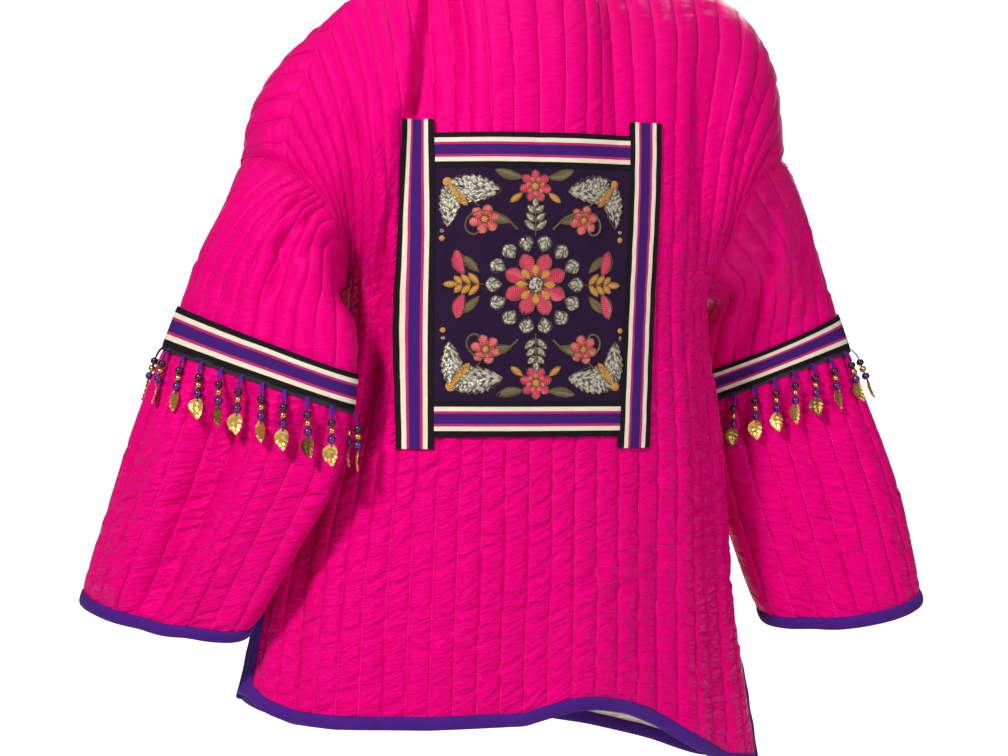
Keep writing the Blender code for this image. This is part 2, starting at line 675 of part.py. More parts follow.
def finish_quarters(quarters):
    """Open the seams' gaps, now that every seam has been shared."""
    for (side, face), panel in quarters.items():
        points = panel["points"]
        last = panel["last"]
        for index in range(points.shape[1]):
            if panel["k"][index] >= NECK_K - 0.01:
                pull(points, (0, index), (1, min(index, last[1])), SEAM_GAP * SEAM_SHARE)
        for row in range(1, ROWS + 1):
            inside = last[row] - 2
            step = unit(points[row, inside] - points[row, last[row]]) * SEAM_GAP * SEAM_SHARE
            points[row, last[row]:] = points[row, last[row]] + step


def pit_share(panel):
    """How near each point of a quarter panel is to its pit, from 0 to 1."""
    rows, columns = panel["points"].shape[:2]
    last = np.array(panel["last"])[:, None]
    up = (np.arange(rows)[:, None] - (UPPER_ROWS - 1)) / PIT_ROWS
    back = np.clip(last - np.arange(columns)[None, :], 0, None) / PIT_HALF_CHANNELS
    return np.exp(-up ** 2 - back ** 2)


def make_body(quarters, magenta):
    """The back in one piece and the two fronts."""
    left = quarters[LEFT, BACK]
    right = quarters[RIGHT, BACK]
    middle = unit(left["normals"][:, 0] + right["normals"][:, 0])
    points = np.concatenate([left["points"][:, :0:-1], right["points"]], axis=1)
    normals = np.concatenate([left["normals"][:, :0:-1], right["normals"]], axis=1)
    count = len(left["k"])
    points[:, count - 1] = (left["points"][:, 0] + right["points"][:, 0]) / 2
    normals[:, count - 1] = middle
    thin = [1.0 - PIT_THIN * pit_share(panel) for panel in (left, right)]
    raised = np.concatenate([(puffs(left["k"], ROWS + 1, left["last"]) * thin[0])[:, :0:-1],
                             puffs(right["k"], ROWS + 1, right["last"]) * thin[1]], axis=1)
    inner = WALL * np.concatenate([thin[0][:, :0:-1], thin[1]], axis=1)
    build_wall("back", points, normals, raised, inner, magenta, drop_crests=True)
    for side in (LEFT, RIGHT):
        panel = quarters[side, FRONT]
        high = puffs(panel["k"], ROWS + 1, panel["last"])
        high[:, 0] = 0.0
        thin = 1.0 - PIT_THIN * pit_share(panel)
        build_wall(f"front_{side}", panel["points"], panel["normals"], high * thin, WALL * thin, magenta,
                   drop_crests=True)
    return {"points": points, "normals": normals}


def ring_wall(name, points, normals, outer, inner, surface, drop_crests=False):
    """A closed tube wall: the grid's first column is repeated at its end."""
    outer = np.broadcast_to(outer, points.shape[:2])
    inner = np.broadcast_to(inner, points.shape[:2])
    closed = [np.concatenate([part, part[:, :1]], axis=1) for part in (points, normals, outer, inner)]
    return build_wall(name, *closed, surface, drop_crests)


def make_sleeves(quarters, magenta):
    """Both sleeves, just clear of the armholes."""
    made = {}
    for side in (LEFT, RIGHT):
        levels, grid, normals = sleeve_grid(quarters, side)
        join_armhole(quarters, side, grid, normals)
        grid[0] += unit(grid[1] - grid[0]) * SEAM_GAP * ARM_GAPS
        near = ((np.arange(SLEEVE_COLUMNS) - SLEEVE_COLUMNS / 2) / PIT_COLUMNS)[None, :] ** 2
        thin = 1.0 - PIT_THIN * np.exp(-near - (np.arange(len(levels))[:, None] / PIT_RINGS) ** 2)
        crest = np.where(np.arange(SLEEVE_COLUMNS) % 2 == 1, PUFF, 0.0)
        raised = np.tile(crest, (len(levels), 1))
        raised[0] = 0.0
        raised[-1] = 0.0
        ring_wall(f"sleeve_{side}", grid, normals, raised * thin, WALL * thin, magenta, drop_crests=True)
        length = np.linalg.norm(np.diff(grid.mean(axis=1), axis=0), axis=1).sum()
        made[side] = {"levels": levels, "points": grid, "normals": normals,
                      "length": length, "band_end": BAND_TOP + RIBBON_WIDTH / length}
    return made


def edge_strip(name, edge, away, normals, widths, closed, surface):
    """A binding that carries a panel's edge on past a small gap: each line gives a share across,
    and how far it stands out and in."""
    lines = [edge + away * (BIND_GAP + share * (widths - BIND_GAP))[:, None] for share, _, _ in BIND_LINES]
    lines[0] = edge + away * BIND_GAP
    points = np.stack(lines)
    ways = np.stack([normals] * len(lines))
    out = np.array([[line[1]] for line in BIND_LINES])
    inside = np.array([[line[2]] for line in BIND_LINES])
    build = ring_wall if closed else build_wall
    build(name, points, ways, out, inside, surface)


def ways_out(points, normals, inside):
    """In-surface directions square to an edge, pointing away from the inside."""
    tangent = unit(np.gradient(points, axis=0))
    away = unit(np.cross(tangent, normals))
    if float((away * (points - inside)).sum()) < 0:
        away = -away
    return away


def corner_path(runs):
    """Join edge runs end to end with mitred corners: each run is points, ways out and directions."""
    points, away, normals = [], [], []
    for number, (run_points, run_away, run_normals) in enumerate(runs):
        if number:
            points[-1] = (points[-1] + run_points[0]) / 2
            away[-1] = away[-1] + run_away[0]
            normals[-1] = unit(normals[-1] + run_normals[0])
            run_points, run_away, run_normals = run_points[1:], run_away[1:], run_normals[1:]
        points += list(run_points)
        away += list(run_away)
        normals += list(run_normals)
    return np.array(points), np.array(away), np.array(normals)


def side_run(panel, forward):
    """The vent edge of a quarter panel, with the way out across the side, from just under the vent's top."""
    index = panel["last"]
    rows = list(range(VENT_ROW, ROWS + 1))
    points = np.array([panel["points"][row, index[row]] for row in rows])
    inside = np.array([panel["points"][row, index[row] - 1] for row in rows])
    normals = np.array([panel["normals"][row, index[row]] for row in rows])
    away = ways_out(points, normals, inside)
    for part in (points, away, normals):
        part[0] = part[0] + (part[1] - part[0]) * VENT_START
    run = (points, away, normals)
    return run if forward else tuple(part[::-1] for part in run)


def hem_run(panel, forward):
    """The hem edge of a quarter panel from the side inwards, with the way down."""
    stop = panel["last"][ROWS]
    points = panel["points"][ROWS, :stop + 1]
    above = panel["points"][ROWS - 1, :stop + 1]
    normals = panel["normals"][ROWS, :stop + 1]
    run = (points, ways_out(points, normals, above), normals)
    return tuple(part[::-1] for part in run) if forward else run


def make_bindings(quarters, sleeves, purple):
    """Bindings of the back, each front, the neck and both cuffs."""
    left = quarters[LEFT, BACK]
    right = quarters[RIGHT, BACK]
    half_left = hem_run(left, True)
    half_right = hem_run(right, False)
    hem = tuple(np.concatenate([a[:-1], b]) for a, b in zip(half_left, half_right))
    path = corner_path([side_run(left, True), hem, side_run(right, False)])
    widths = np.full(len(path[0]), BIND_WIDTH)
    widths[[0, -1]] *= VENT_TAPER
    edge_strip("binding_back", *path, widths, False, purple)
    for side in (LEFT, RIGHT):
        panel = quarters[side, FRONT]
        points = panel["points"][::-1, 0]
        normals = panel["normals"][::-1, 0]
        edge = (points, ways_out(points, normals, panel["points"][::-1, 1]), normals)
        path = corner_path([side_run(panel, True), hem_run(panel, True), edge])
        widths = np.full(len(path[0]), BIND_WIDTH)
        widths[0] *= VENT_TAPER
        edge_strip(f"binding_front_{side}", *path, widths, False, purple)
    make_neck_binding(quarters, purple)
    for side in (LEFT, RIGHT):
        sleeve = sleeves[side]
        last = sleeve["points"][-1]
        away = unit(last - sleeve["points"][-2])
        widths = np.full(len(last), BIND_WIDTH)
        edge_strip(f"binding_cuff_{side}", last, away, sleeve["normals"][-1], widths, True, purple)


def make_neck_binding(quarters, purple):
    """One binding from the left front edge round the back of the neck to the right front edge."""
    stop_back = int(NECK_K * 2)
    stop_front = int((NECK_K - FRONT_EDGE_K) * 2)
    order = ((LEFT, FRONT, stop_front, True), (LEFT, BACK, stop_back, False),
             (RIGHT, BACK, stop_back, True), (RIGHT, FRONT, stop_front, False))
    points, normals = [], []
    for number, (side, face, stop, forward) in enumerate(order):
        panel = quarters[side, face]
        step = 1 if forward else -1
        run = list(panel["points"][0, :stop + 1][::step])
        run_normals = list(panel["normals"][0, :stop + 1][::step])
        if number:
            points[-1] = (points[-1] + run[0]) / 2
            normals[-1] = unit(normals[-1] + run_normals[0])
            run, run_normals = run[1:], run_normals[1:]
        points += run
        normals += run_normals
    points, normals = np.array(points), np.array(normals)
    middle = np.array([0.0, 0.01, 0.0]) + points * np.array([0.0, 0.0, 1.0])
    away = ways_out(points, normals, 2 * points - middle)
    edge_strip("binding_neck", points, away, normals, np.full(len(points), BIND_WIDTH), False, purple)


def grid_sample(sheet, row, column):
    """A point and direction on the back's faceted surface at a row and column."""
    row_0 = int(min(math.floor(row), ROWS - 1))
    col_0 = int(min(math.floor(column), sheet["points"].shape[1] - 2))
    a = row - row_0
    b = column - col_0
    made = []
    for part in ("points", "normals"):
        grid = sheet[part]
        made.append((1 - a) * ((1 - b) * grid[row_0, col_0] + b * grid[row_0, col_0 + 1])
                    + a * ((1 - b) * grid[row_0 + 1, col_0] + b * grid[row_0 + 1, col_0 + 1]))
    return made[0], unit(made[1])


def line_on_back(sheet, row_at, sides):
    """Where a line over the back crosses a piece's two sides: row_at holds its row at every column."""
    columns = np.arange(sheet["points"].shape[1])
    places = np.array([grid_sample(sheet, row_at[c], c)[0] for c in columns])
    middle = len(columns) // 2
    near = slice(middle - SEARCH_COLUMNS, middle + SEARCH_COLUMNS + 1)
    found = []
    for number in (0, 1):
        beyond = np.array([place[0] - sides(place[2])[number] for place in places])
        found.append(float(np.interp(0.0, beyond[near], columns[near])))
    return found


def rows_at_height(sheet, z):
    """The row at which every column of the back reaches a height."""
    heights = sheet["points"][:, :, 2]
    rows = np.arange(heights.shape[0])
    return np.array([np.interp(-z, -heights[:, c], rows) for c in range(heights.shape[1])])


def panel_x(edge, z):
    """An outer edge of the picture panel at a height."""
    share = (PANEL_Z["top_end"] - z) / (PANEL_Z["top_end"] - PANEL_Z["foot_end"])
    return edge[0] + (edge[1] - edge[0]) * share


def laid_piece(name, sheet, sides, z_top, z_foot, thick, surface):
    """A flat piece laid on the back, made from the back's own points moved out."""
    top = rows_at_height(sheet, z_top)
    foot = rows_at_height(sheet, z_foot)
    middle = len(top) // 2
    near = slice(middle - PANEL_COLUMNS, middle + PANEL_COLUMNS + 1)
    first = int(math.ceil(top[near].max() + ROW_CLEAR))
    final = int(math.floor(foot[near].min() - ROW_CLEAR))
    lines = [top] + [np.full(len(top), float(row)) for row in range(first, final + 1)] + [foot]
    ends = [line_on_back(sheet, line, sides) for line in lines]
    start = int(math.ceil(min(end[0] for end in ends) + COLUMN_CLEAR))
    stop = int(math.floor(max(end[1] for end in ends) - COLUMN_CLEAR))
    points, normals = [], []
    for line, (low, high) in zip(lines, ends):
        columns = np.clip([low] + list(range(start, stop + 1)) + [high], low, high)
        rows = np.interp(columns, np.arange(len(line)), line)
        made = [grid_sample(sheet, row, column) for row, column in zip(rows, columns)]
        points.append([point for point, _ in made])
        normals.append([normal for _, normal in made])
    points, normals = np.array(points), np.array(normals)
    build_wall(name, points + normals * LAID_UP, normals, thick, 0.0, surface)


def make_panel(sheet, ground, stripe):
    """The dark ground cloth and the four ribbons that frame it."""
    def left_sides(z):
        edge = panel_x(PANEL_LEFT, z)
        return edge, edge + RIBBON_WIDTH * RIBBON_SEEN

    def right_sides(z):
        edge = panel_x(PANEL_RIGHT, z)
        return edge - RIBBON_WIDTH * RIBBON_SEEN, edge

    def inner_sides(z):
        return left_sides(z)[1] + LAID_GAP, right_sides(z)[0] - LAID_GAP

    z = PANEL_Z
    laid_piece("ribbon_left", sheet, left_sides, z["top_end"], z["foot_end"], RIBBON_THICK, stripe)
    laid_piece("ribbon_right", sheet, right_sides, z["top_end"], z["foot_end"], RIBBON_THICK, stripe)
    laid_piece("ribbon_top", sheet, inner_sides, z["top"], z["top"] - RIBBON_WIDTH, RIBBON_THICK, stripe)
    laid_piece("ribbon_bottom", sheet, inner_sides, z["foot"] + RIBBON_WIDTH, z["foot"],
               RIBBON_THICK, stripe)
    laid_piece("panel_ground", sheet, inner_sides, z["top"] - RIBBON_WIDTH - LAID_GAP,
               z["foot"] + RIBBON_WIDTH + LAID_GAP, GROUND_THICK, ground)


def sleeve_sample(sleeve, level, column):
    """A point and direction on a sleeve's faceted surface."""
    row = float(np.interp(level, sleeve["levels"], np.arange(len(sleeve["levels"]))))
    row_0 = int(min(math.floor(row), len(sleeve["levels"]) - 2))
    a = row - row_0
    col_0 = int(math.floor(column)) % SLEEVE_COLUMNS
    col_1 = (col_0 + 1) % SLEEVE_COLUMNS
    b = column - math.floor(column)
    made = []
    for part in ("points", "normals"):
        grid = sleeve[part]
        made.append((1 - a) * ((1 - b) * grid[row_0, col_0] + b * grid[row_0, col_1])
                    + a * ((1 - b) * grid[row_0 + 1, col_0] + b * grid[row_0 + 1, col_1]))
    return made[0], unit(made[1])


def make_bands(sleeves, stripe):
    """A striped band round each sleeve."""
    for side in (LEFT, RIGHT):
        sleeve = sleeves[side]
        low = sleeve["band_end"]
        inside = [level for level in sleeve["levels"] if BAND_TOP + BAND_INSET < level < low - BAND_INSET]
        levels = [BAND_TOP] + inside + [low]
        grid = np.zeros((len(levels), SLEEVE_COLUMNS, 3))
        normals = np.zeros_like(grid)
        for i, level in enumerate(levels):
            for column in range(SLEEVE_COLUMNS):
                grid[i, column], normals[i, column] = sleeve_sample(sleeve, level, column)
        ring_wall(f"band_{side}", grid + normals * (PUFF + LAY_GAP), normals, RIBBON_THICK, 0.0, stripe)


def make_drops(sleeves, gold):
    """A narrow backing under each band with the beaded drops that hang from it."""
    for side in (LEFT, RIGHT):
        sleeve = sleeves[side]
        stations = []
        for column in range(SLEEVE_COLUMNS):
            if column % DROP_EVERY == 0:
                stations += [(column - DROP_FOOT, True), (column + DROP_FOOT, False)]
            else:
                stations.append((float(column), False))
        tops, lows, outs = [], [], []
        for place, _ in stations:
            start = sleeve["band_end"] + STRIP_BELOW
            top, out = sleeve_sample(sleeve, start, place)
            low, _ = sleeve_sample(sleeve, start + STRIP_SPAN, place)
            step = unit(low - top)
            tops.append(top + out * (PUFF + LAY_GAP))
            lows.append(top + out * (PUFF + LAY_GAP) + step * STRIP_HEIGHT)
            outs.append(out)
        points = np.array([tops, lows])
        normals = np.array([outs, outs])
        strip = ring_wall(f"drops_{side}", points, normals, STRIP_THICK, 0.0, gold)
        hang_drops(strip, sleeve, stations, points, normals)


def hang_drops(strip, sleeve, stations, points, normals):
    """Draw each drop out of the backing's narrow lower faces."""
    mesh = bmesh.new()
    mesh.from_mesh(strip.data)
    starts = [index for index, (_, narrow) in enumerate(stations) if narrow]
    for number, index in enumerate(starts):
        after = (index + 1) % len(stations)
        foot = [points[1, index], points[1, after]]
        foot += [p + normals[1, i] * STRIP_THICK for p, i in zip(foot, (index, after))]
        middle = sum(foot) / 4
        tip_level = sleeve["band_end"] + DROP_LONG / sleeve["length"]
        beside, beside_out = sleeve_sample(sleeve, tip_level, stations[index][0])
        hanging = middle - np.array([0.0, 0.0, DROP_LONG])
        short = DROP_CLEAR + PUFF - float((hanging - beside).dot(beside_out))
        face = min(mesh.faces, key=lambda f: (np.array(f.calc_center_median()) - middle).dot(
            np.array(f.calc_center_median()) - middle))
        out = normals[1, index]
        down = unit(hanging + beside_out * max(short, 0.0) - middle)
        side_way = unit(np.cross(down, out))
        out = unit(np.cross(side_way, down))
        twist = math.radians(LEAF_TURNS[number % len(LEAF_TURNS)])
        root = middle + out * DROP_OUT
        for depth, half_width, half_depth in DROP_PROFILE:
            lift = DROP_CLEAR * min(depth / DROP_LIFT[0], 1.0) * DROP_LIFT[1]
            centre = root + down * depth + out * lift
            turn = twist if depth > LEAF_FROM else 0.0
            a = side_way * math.cos(turn) + out * math.sin(turn)
            b = out * math.cos(turn) - side_way * math.sin(turn)
            face = extrude_to(mesh, face, centre, a * half_width, b * half_depth)
    bmesh.ops.recalc_face_normals(mesh, faces=mesh.faces[:])
    mesh.to_mesh(strip.data)
    mesh.free()


def extrude_to(mesh, face, centre, a, b):
    """Extrude one four-sided face to a new square section."""
    made = bmesh.ops.extrude_discrete_faces(mesh, faces=[face])["faces"][0]
    old_centre = np.array(made.calc_center_median())
    for vert in made.verts:
        way = np.array(vert.co) - old_centre
        sign_a = 1.0 if way.dot(a) >= 0 else -1.0
        sign_b = 1.0 if way.dot(b) >= 0 else -1.0
        vert.co = centre + a * sign_a + b * sign_b
    return made


def main():
    """Build every piece under the empty that turns the garment as it hangs."""
    clear_objects()
    hang = bpy.data.objects.new("hang", None)
    bpy.context.collection.objects.link(hang)
    hang.rotation_euler = (0.0, 0.0, math.radians(TURN_DEG))
    magenta = material("magenta_silk", MAGENTA, 0.42)
    purple = material("purple_binding", PURPLE, 0.6)
    ground = material("dark_ground", DARK_PURPLE, 0.7)
    stripe = material("striped_ribbon", STRIPE, 0.55)
    gold = material("beads_and_leaves", GOLD, 0.35, 0.7)
    quarters = body_panels()
    sleeves = make_sleeves(quarters, magenta)
    finish_quarters(quarters)
    sheet = make_body(quarters, magenta)
    make_bindings(quarters, sleeves, purple)
    make_panel(sheet, ground, stripe)
    make_bands(sleeves, stripe)
    make_drops(sleeves, gold)
    bpy.context.view_layer.update()


main()
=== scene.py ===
"""The quilted jacket as it hangs: silk over wadding in channels, bound, banded and hung with beads."""

import logging
import math
from collections.abc import Callable
from dataclasses import dataclass, field
from enum import Enum

import bmesh
import bpy
import numpy as np
from bpy.types import Material, NodeSocket, Object
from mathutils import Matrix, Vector


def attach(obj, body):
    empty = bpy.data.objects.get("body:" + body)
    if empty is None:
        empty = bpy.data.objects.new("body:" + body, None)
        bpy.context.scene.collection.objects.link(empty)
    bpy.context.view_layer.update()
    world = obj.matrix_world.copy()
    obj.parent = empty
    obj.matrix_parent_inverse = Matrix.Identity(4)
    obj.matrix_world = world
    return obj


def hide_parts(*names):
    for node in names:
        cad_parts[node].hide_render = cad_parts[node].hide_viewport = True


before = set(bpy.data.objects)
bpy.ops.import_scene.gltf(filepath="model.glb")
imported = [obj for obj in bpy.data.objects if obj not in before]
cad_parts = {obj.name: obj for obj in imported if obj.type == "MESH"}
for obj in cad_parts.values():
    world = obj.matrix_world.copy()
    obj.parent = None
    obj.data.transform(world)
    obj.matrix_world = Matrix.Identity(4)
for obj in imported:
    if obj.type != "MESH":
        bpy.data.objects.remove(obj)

Vec = np.ndarray
log = logging.getLogger("jacket")


class Side(Enum):
    """The two halves of the jacket, as seen from behind."""

    LEFT = "left"
    RIGHT = "right"


class Face(Enum):
    """The back and the front of a half."""

    BACK = "back"
    FRONT = "front"


LEFT, RIGHT, BACK, FRONT = Side.LEFT, Side.RIGHT, Face.BACK, Face.FRONT

# TABLES

# Cloth
CHANNEL = 0.0244
WALL = 0.003
PUFF = 0.0026
TURN_DEG = 15.0

# The cut, in channels across and rows down
NECK_K = 4.0
SHOULDER_K = 16.0
SIDE_K = 12.5
FRONT_EDGE_K = 1.5
UPPER_ROWS = 9
SEAM_K = (16.0, 15.5, 15.0, 15.0, 14.5, 14.5, 14.0, 13.5, 13.0, 12.5)
LOWER_W = (0.12, 0.24, 0.36, 0.48, 0.60, 0.72, 0.82, 0.91, 1.0)
ROWS = UPPER_ROWS + len(LOWER_W)
PIT_Z = -0.345
PIT_Y = -0.005
SECTION_POWER = 2.12
CURVE_STEPS = 90
BODY_MIDDLE_X = -0.01

# Neck opening
NECK_BACK = (0.0, -0.062, -0.022)
NECK_FRONT = (0.034, 0.062, -0.088)

# Trim
BIND_WIDTH = 0.0125
BIND_GAP = 0.0007
RIBBON_WIDTH = 0.0355
RIBBON_THICK = 0.0012
GROUND_THICK = 0.0010
LAY_GAP = 0.0006
LAID_UP = PUFF + 0.0009
RIBBON_SEEN = 0.98

# Shoulder seam from the neck's side to the armhole: x, y, z
SHOULDER = {
    LEFT: ((-0.080, -0.010, 0.000), (-0.135, -0.022, -0.024), (-0.184, -0.031, -0.056),
           (-0.211, -0.034, -0.092), (-0.229, -0.036, -0.126), (-0.243, -0.039, -0.159),
           (-0.251, -0.042, -0.193), (-0.251, -0.047, -0.227)),
    RIGHT: ((0.080, -0.010, 0.000), (0.150, 0.000, -0.010), (0.224, 0.008, -0.028),
            (0.264, 0.012, -0.054), (0.289, 0.014, -0.092), (0.299, 0.016, -0.130),
            (0.303, 0.017, -0.170), (0.304, 0.017, -0.203)),
}

# How far each front stands out over the shoulder just past the seam, by channel
RIDGE = {
    LEFT: ((4.0, 7.0, 9.0, 11.0, 13.0, 15.0, 16.0), (0.0, 0.006, 0.014, 0.019, 0.018, 0.008, 0.0)),
    RIGHT: ((4.0, 7.0, 10.0, 13.0, 16.0), (0.0, 0.003, 0.006, 0.005, 0.0)),
}
RIDGE_V = 0.36
FRONT_RISE = 0.030
CHEST_LIFT = 0.4

# Armhole seam from the shoulder seam's end to the pit: x, y, z
ARMHOLE = {
    (LEFT, BACK): ((-0.251, -0.047, -0.227), (-0.236, -0.062, -0.239), (-0.219, -0.075, -0.258),
                   (-0.203, -0.077, -0.290), (-0.191, -0.048, -0.324), (-0.178, PIT_Y, PIT_Z)),
    (LEFT, FRONT): ((-0.251, -0.047, -0.227), (-0.271, -0.022, -0.214), (-0.283, 0.014, -0.216),
                    (-0.277, 0.050, -0.240), (-0.248, 0.070, -0.278), (-0.207, 0.044, -0.320),
                    (-0.178, PIT_Y, PIT_Z)),
    (RIGHT, BACK): ((0.304, 0.017, -0.203), (0.286, -0.026, -0.206), (0.258, -0.050, -0.220),
                    (0.229, -0.062, -0.258), (0.212, -0.044, -0.312), (0.198, PIT_Y, PIT_Z)),
    (RIGHT, FRONT): ((0.304, 0.017, -0.203), (0.300, 0.052, -0.226), (0.280, 0.076, -0.262),
                     (0.242, 0.070, -0.300), (0.218, 0.040, -0.326), (0.198, PIT_Y, PIT_Z)),
}

# Centre lines from the neck to the pit's level: x, y, z
CENTRE_BACK = (NECK_BACK, (-0.001, -0.092, -0.070), (-0.004, -0.112, -0.140),
               (-0.007, -0.119, -0.230), (-0.011, -0.118, PIT_Z))
CENTRE_FRONT_Y = ((0.062, -0.088), (0.090, -0.134), (0.106, -0.220), (0.112, PIT_Z))

# The body below the pits: w from pit to hem, centre x, left and right side x, back and front y,
# and how far the vents stand open on each side of the side line
BODY = {
    "w": (0.00, 0.10, 0.20, 0.33, 0.50, 0.66, 0.72, 0.82, 1.00),
    "centre": (-0.011, -0.013, -0.015, -0.017, -0.019, -0.021, -0.022, -0.024, -0.026),
    "left": (-0.178, -0.178, -0.187, -0.206, -0.228, -0.250, -0.258, -0.271, -0.287),
    "right": (0.198, 0.203, 0.214, 0.225, 0.229, 0.232, 0.236, 0.246, 0.260),
    "back": (-0.118, -0.118, -0.119, -0.120, -0.122, -0.123, -0.124, -0.125, -0.127),
    "front": (0.112, 0.115, 0.118, 0.121, 0.124, 0.127, 0.128, 0.130, 0.132),
    "vent": (0.0, 0.0, 0.0, 0.0, 0.0, 0.0, 0.0, 0.016, 0.022),
}
VENT_ROW = UPPER_ROWS + 6
VENT_START = 0.25
VENT_TAPER = 0.2

# Finished hem: channel from the centre, height
HEM = {
    (LEFT, BACK): ((0.0, 4.0, 8.0, 10.0, 11.3, 12.5), (-0.786, -0.788, -0.787, -0.783, -0.774, -0.760)),
    (RIGHT, BACK): ((0.0, 1.2, 2.2, 3.2, 4.7, 6.2, 7.8, 10.0, 12.5),
                    (-0.786, -0.778, -0.772, -0.772, -0.779, -0.794, -0.818, -0.842, -0.852)),
    (LEFT, FRONT): ((1.5, 6.0, 10.0, 12.5), (-0.802, -0.800, -0.788, -0.766)),
    (RIGHT, FRONT): ((1.5, 3.1, 5.7, 8.3, 10.5, 12.5), (-0.804, -0.807, -0.819, -0.834, -0.848, -0.852)),
}

# Large folds: where they start and end in channels and rows, depth inwards, half width in channels
FOLDS = {
    (LEFT, BACK): ((4.0, 8.2, 0.5, 9.5, 0.015, 1.5), (8.0, 8.6, 8.0, 14.5, 0.011, 1.3),
                   (9.3, 11.6, 1.0, 7.0, 0.006, 1.0),
                   (10.6, 10.2, 10.0, 18.5, 0.006, 0.8), (5.2, 5.6, 12.0, 18.5, 0.004, 1.0)),
    (RIGHT, BACK): ((8.6, 9.2, 0.5, 9.5, 0.012, 1.2), (9.2, 9.6, 8.5, 18.5, 0.008, 1.1),
                    (11.6, 11.2, 1.0, 7.0, 0.006, 1.0), (2.4, 2.8, 14.0, 18.9, -0.007, 1.5),
                    (5.8, 6.4, 12.5, 18.9, 0.005, 1.0)),
    (LEFT, FRONT): ((9.0, 9.4, 0.5, 9.0, 0.013, 1.3), (9.4, 9.0, 8.5, 18.5, 0.009, 1.1),
                    (5.0, 5.6, 11.0, 18.5, 0.006, 1.0)),
    (RIGHT, FRONT): ((9.4, 9.2, 0.5, 9.0, 0.012, 1.3), (9.2, 9.8, 8.5, 18.5, 0.008, 1.1),
                     (4.6, 4.0, 11.5, 18.5, 0.006, 1.0)),
}

# How a fold fades in and out along its length
FOLD_LATE = 1.15
FOLD_POWER = 0.8
FOLD_OPEN = 2.0

# Sleeves: distance down the arm 0 to 1, centre, vector to the outer edge, half thickness,
# how far the back edge hangs below, and where the shoulder line meets the tube, in degrees
SLEEVE_F = (0.0, 0.20, 0.42, 0.62, 0.78, 1.0)
SLEEVE = {
    LEFT: {"centre": (None, (-0.256, -0.050, -0.312), (-0.272, -0.054, -0.398), (-0.299, -0.050, -0.496),
                      (-0.325, -0.038, -0.566), (-0.365, 0.000, -0.671)),
           "outer": (None, (-0.062, 0.050, 0.030), (-0.075, 0.060, 0.034), (-0.091, 0.056, 0.026),
                     (-0.088, 0.056, 0.022), (-0.076, 0.054, 0.018)),
           "thick": (None, 0.050, 0.040, 0.034, 0.034, 0.042),
           "sag": (None, 0.0, 0.0, 0.0, 0.0, 0.006),
           "phase": 34.0},
    RIGHT: {"centre": (None, (0.284, 0.038, -0.308), (0.302, 0.056, -0.398), (0.322, 0.044, -0.494),
                       (0.343, 0.030, -0.574), (0.373, 0.024, -0.680)),
            "outer": (None, (0.060, 0.016, 0.026), (0.076, -0.004, 0.032), (0.087, -0.010, 0.024),
                      (0.095, -0.012, 0.016), (0.089, -0.012, 0.010)),
            "thick": (None, 0.056, 0.042, 0.040, 0.042, 0.048),
            "sag": (None, 0.0, 0.0, 0.0, 0.006, 0.016),
            "phase": 4.0},
}
SLEEVE_LEVELS = (0.0, 0.07, 0.14, 0.22, 0.31, 0.40, 0.50, 0.60, 0.70, 0.80, 0.90, 1.0)
SLEEVE_BLEND = 0.36

# Sleeve folds: column at the top and bottom, level at the top and bottom, depth inwards, half width
SLEEVE_FOLDS = {
    LEFT: ((5.0, 12.0, 0.02, 0.45, 0.009, 1.6), (11.0, 8.0, 0.05, 0.40, 0.006, 1.3),
           (14.0, 12.5, 0.50, 1.05, 0.007, 1.8), (5.5, 7.0, 0.55, 1.05, 0.004, 1.8),
           (26.0, 22.0, 0.05, 0.50, 0.009, 1.8), (28.0, 27.0, 0.50, 1.05, 0.006, 1.8)),
    RIGHT: ((9.0, 14.0, 0.04, 0.42, 0.009, 1.6), (6.0, 4.5, 0.05, 0.38, 0.006, 1.4),
            (12.0, 13.0, 0.52, 1.05, 0.006, 1.8), (25.0, 22.0, 0.05, 0.45, 0.009, 1.8),
            (29.0, 28.0, 0.50, 1.05, 0.006, 1.8)),
}

# Where sleeve and body meet at the armhole and the pit
ARM_SHARE = 0.25
ARM_FOLD_WEIGHT = 1.5
SEAM_FADE = 0.12
PIT_ROWS = 2.2
PIT_RINGS = 2.0
PIT_HALF_CHANNELS = 4.0
PIT_THIN = 0.62
PIT_BULGE = (0.0, 0.005, 0.006, 0.004)
PIT_COLUMNS = 6.5
SLEEVE_COLUMNS = 4 * UPPER_ROWS
BAND_TOP = 0.425

# Picture panel: its outer edges across at its top and foot, and its heights, seen from behind
PANEL_LEFT = (-0.141, -0.148)
PANEL_RIGHT = (0.128, 0.111)
PANEL_Z = {"top_end": -0.178, "top": -0.192, "foot": -0.497, "foot_end": -0.509}

# Beaded drops and the tape that they hang from
STRIP_HEIGHT = 0.0030
STRIP_THICK = 0.0035
DROP_CLEAR = 0.0060
DROP_LONG = 0.0600
DROP_EVERY = 2
DROP_OUT = 0.0008
DROP_LIFT = 0.55
STRING_ENDS = (0.010, 0.038)
STRING_HALF = 0.0007
TAPE_SECTION = ((0, -0.0008), (0, 0.0009), (1, 0.0005), (1, -0.0008))
LEAF_TURNS = (-32.0, 0.0, 32.0, -16.0, 16.0)
STRIP_BELOW = 0.0015
STRIP_SPAN = 0.0065


# SHAPE


def unit(vectors: Vec) -> Vec:
    """Vectors scaled to length one."""
    vectors = np.asarray(vectors, dtype=float)
    return vectors / np.maximum(np.linalg.norm(vectors, axis=-1, keepdims=True), 1e-12)


def ease(value: Vec | float) -> Vec | float:
    """Smooth step from 0 to 1."""
    value = np.clip(value, 0.0, 1.0)
    return value * value * (3.0 - 2.0 * value)


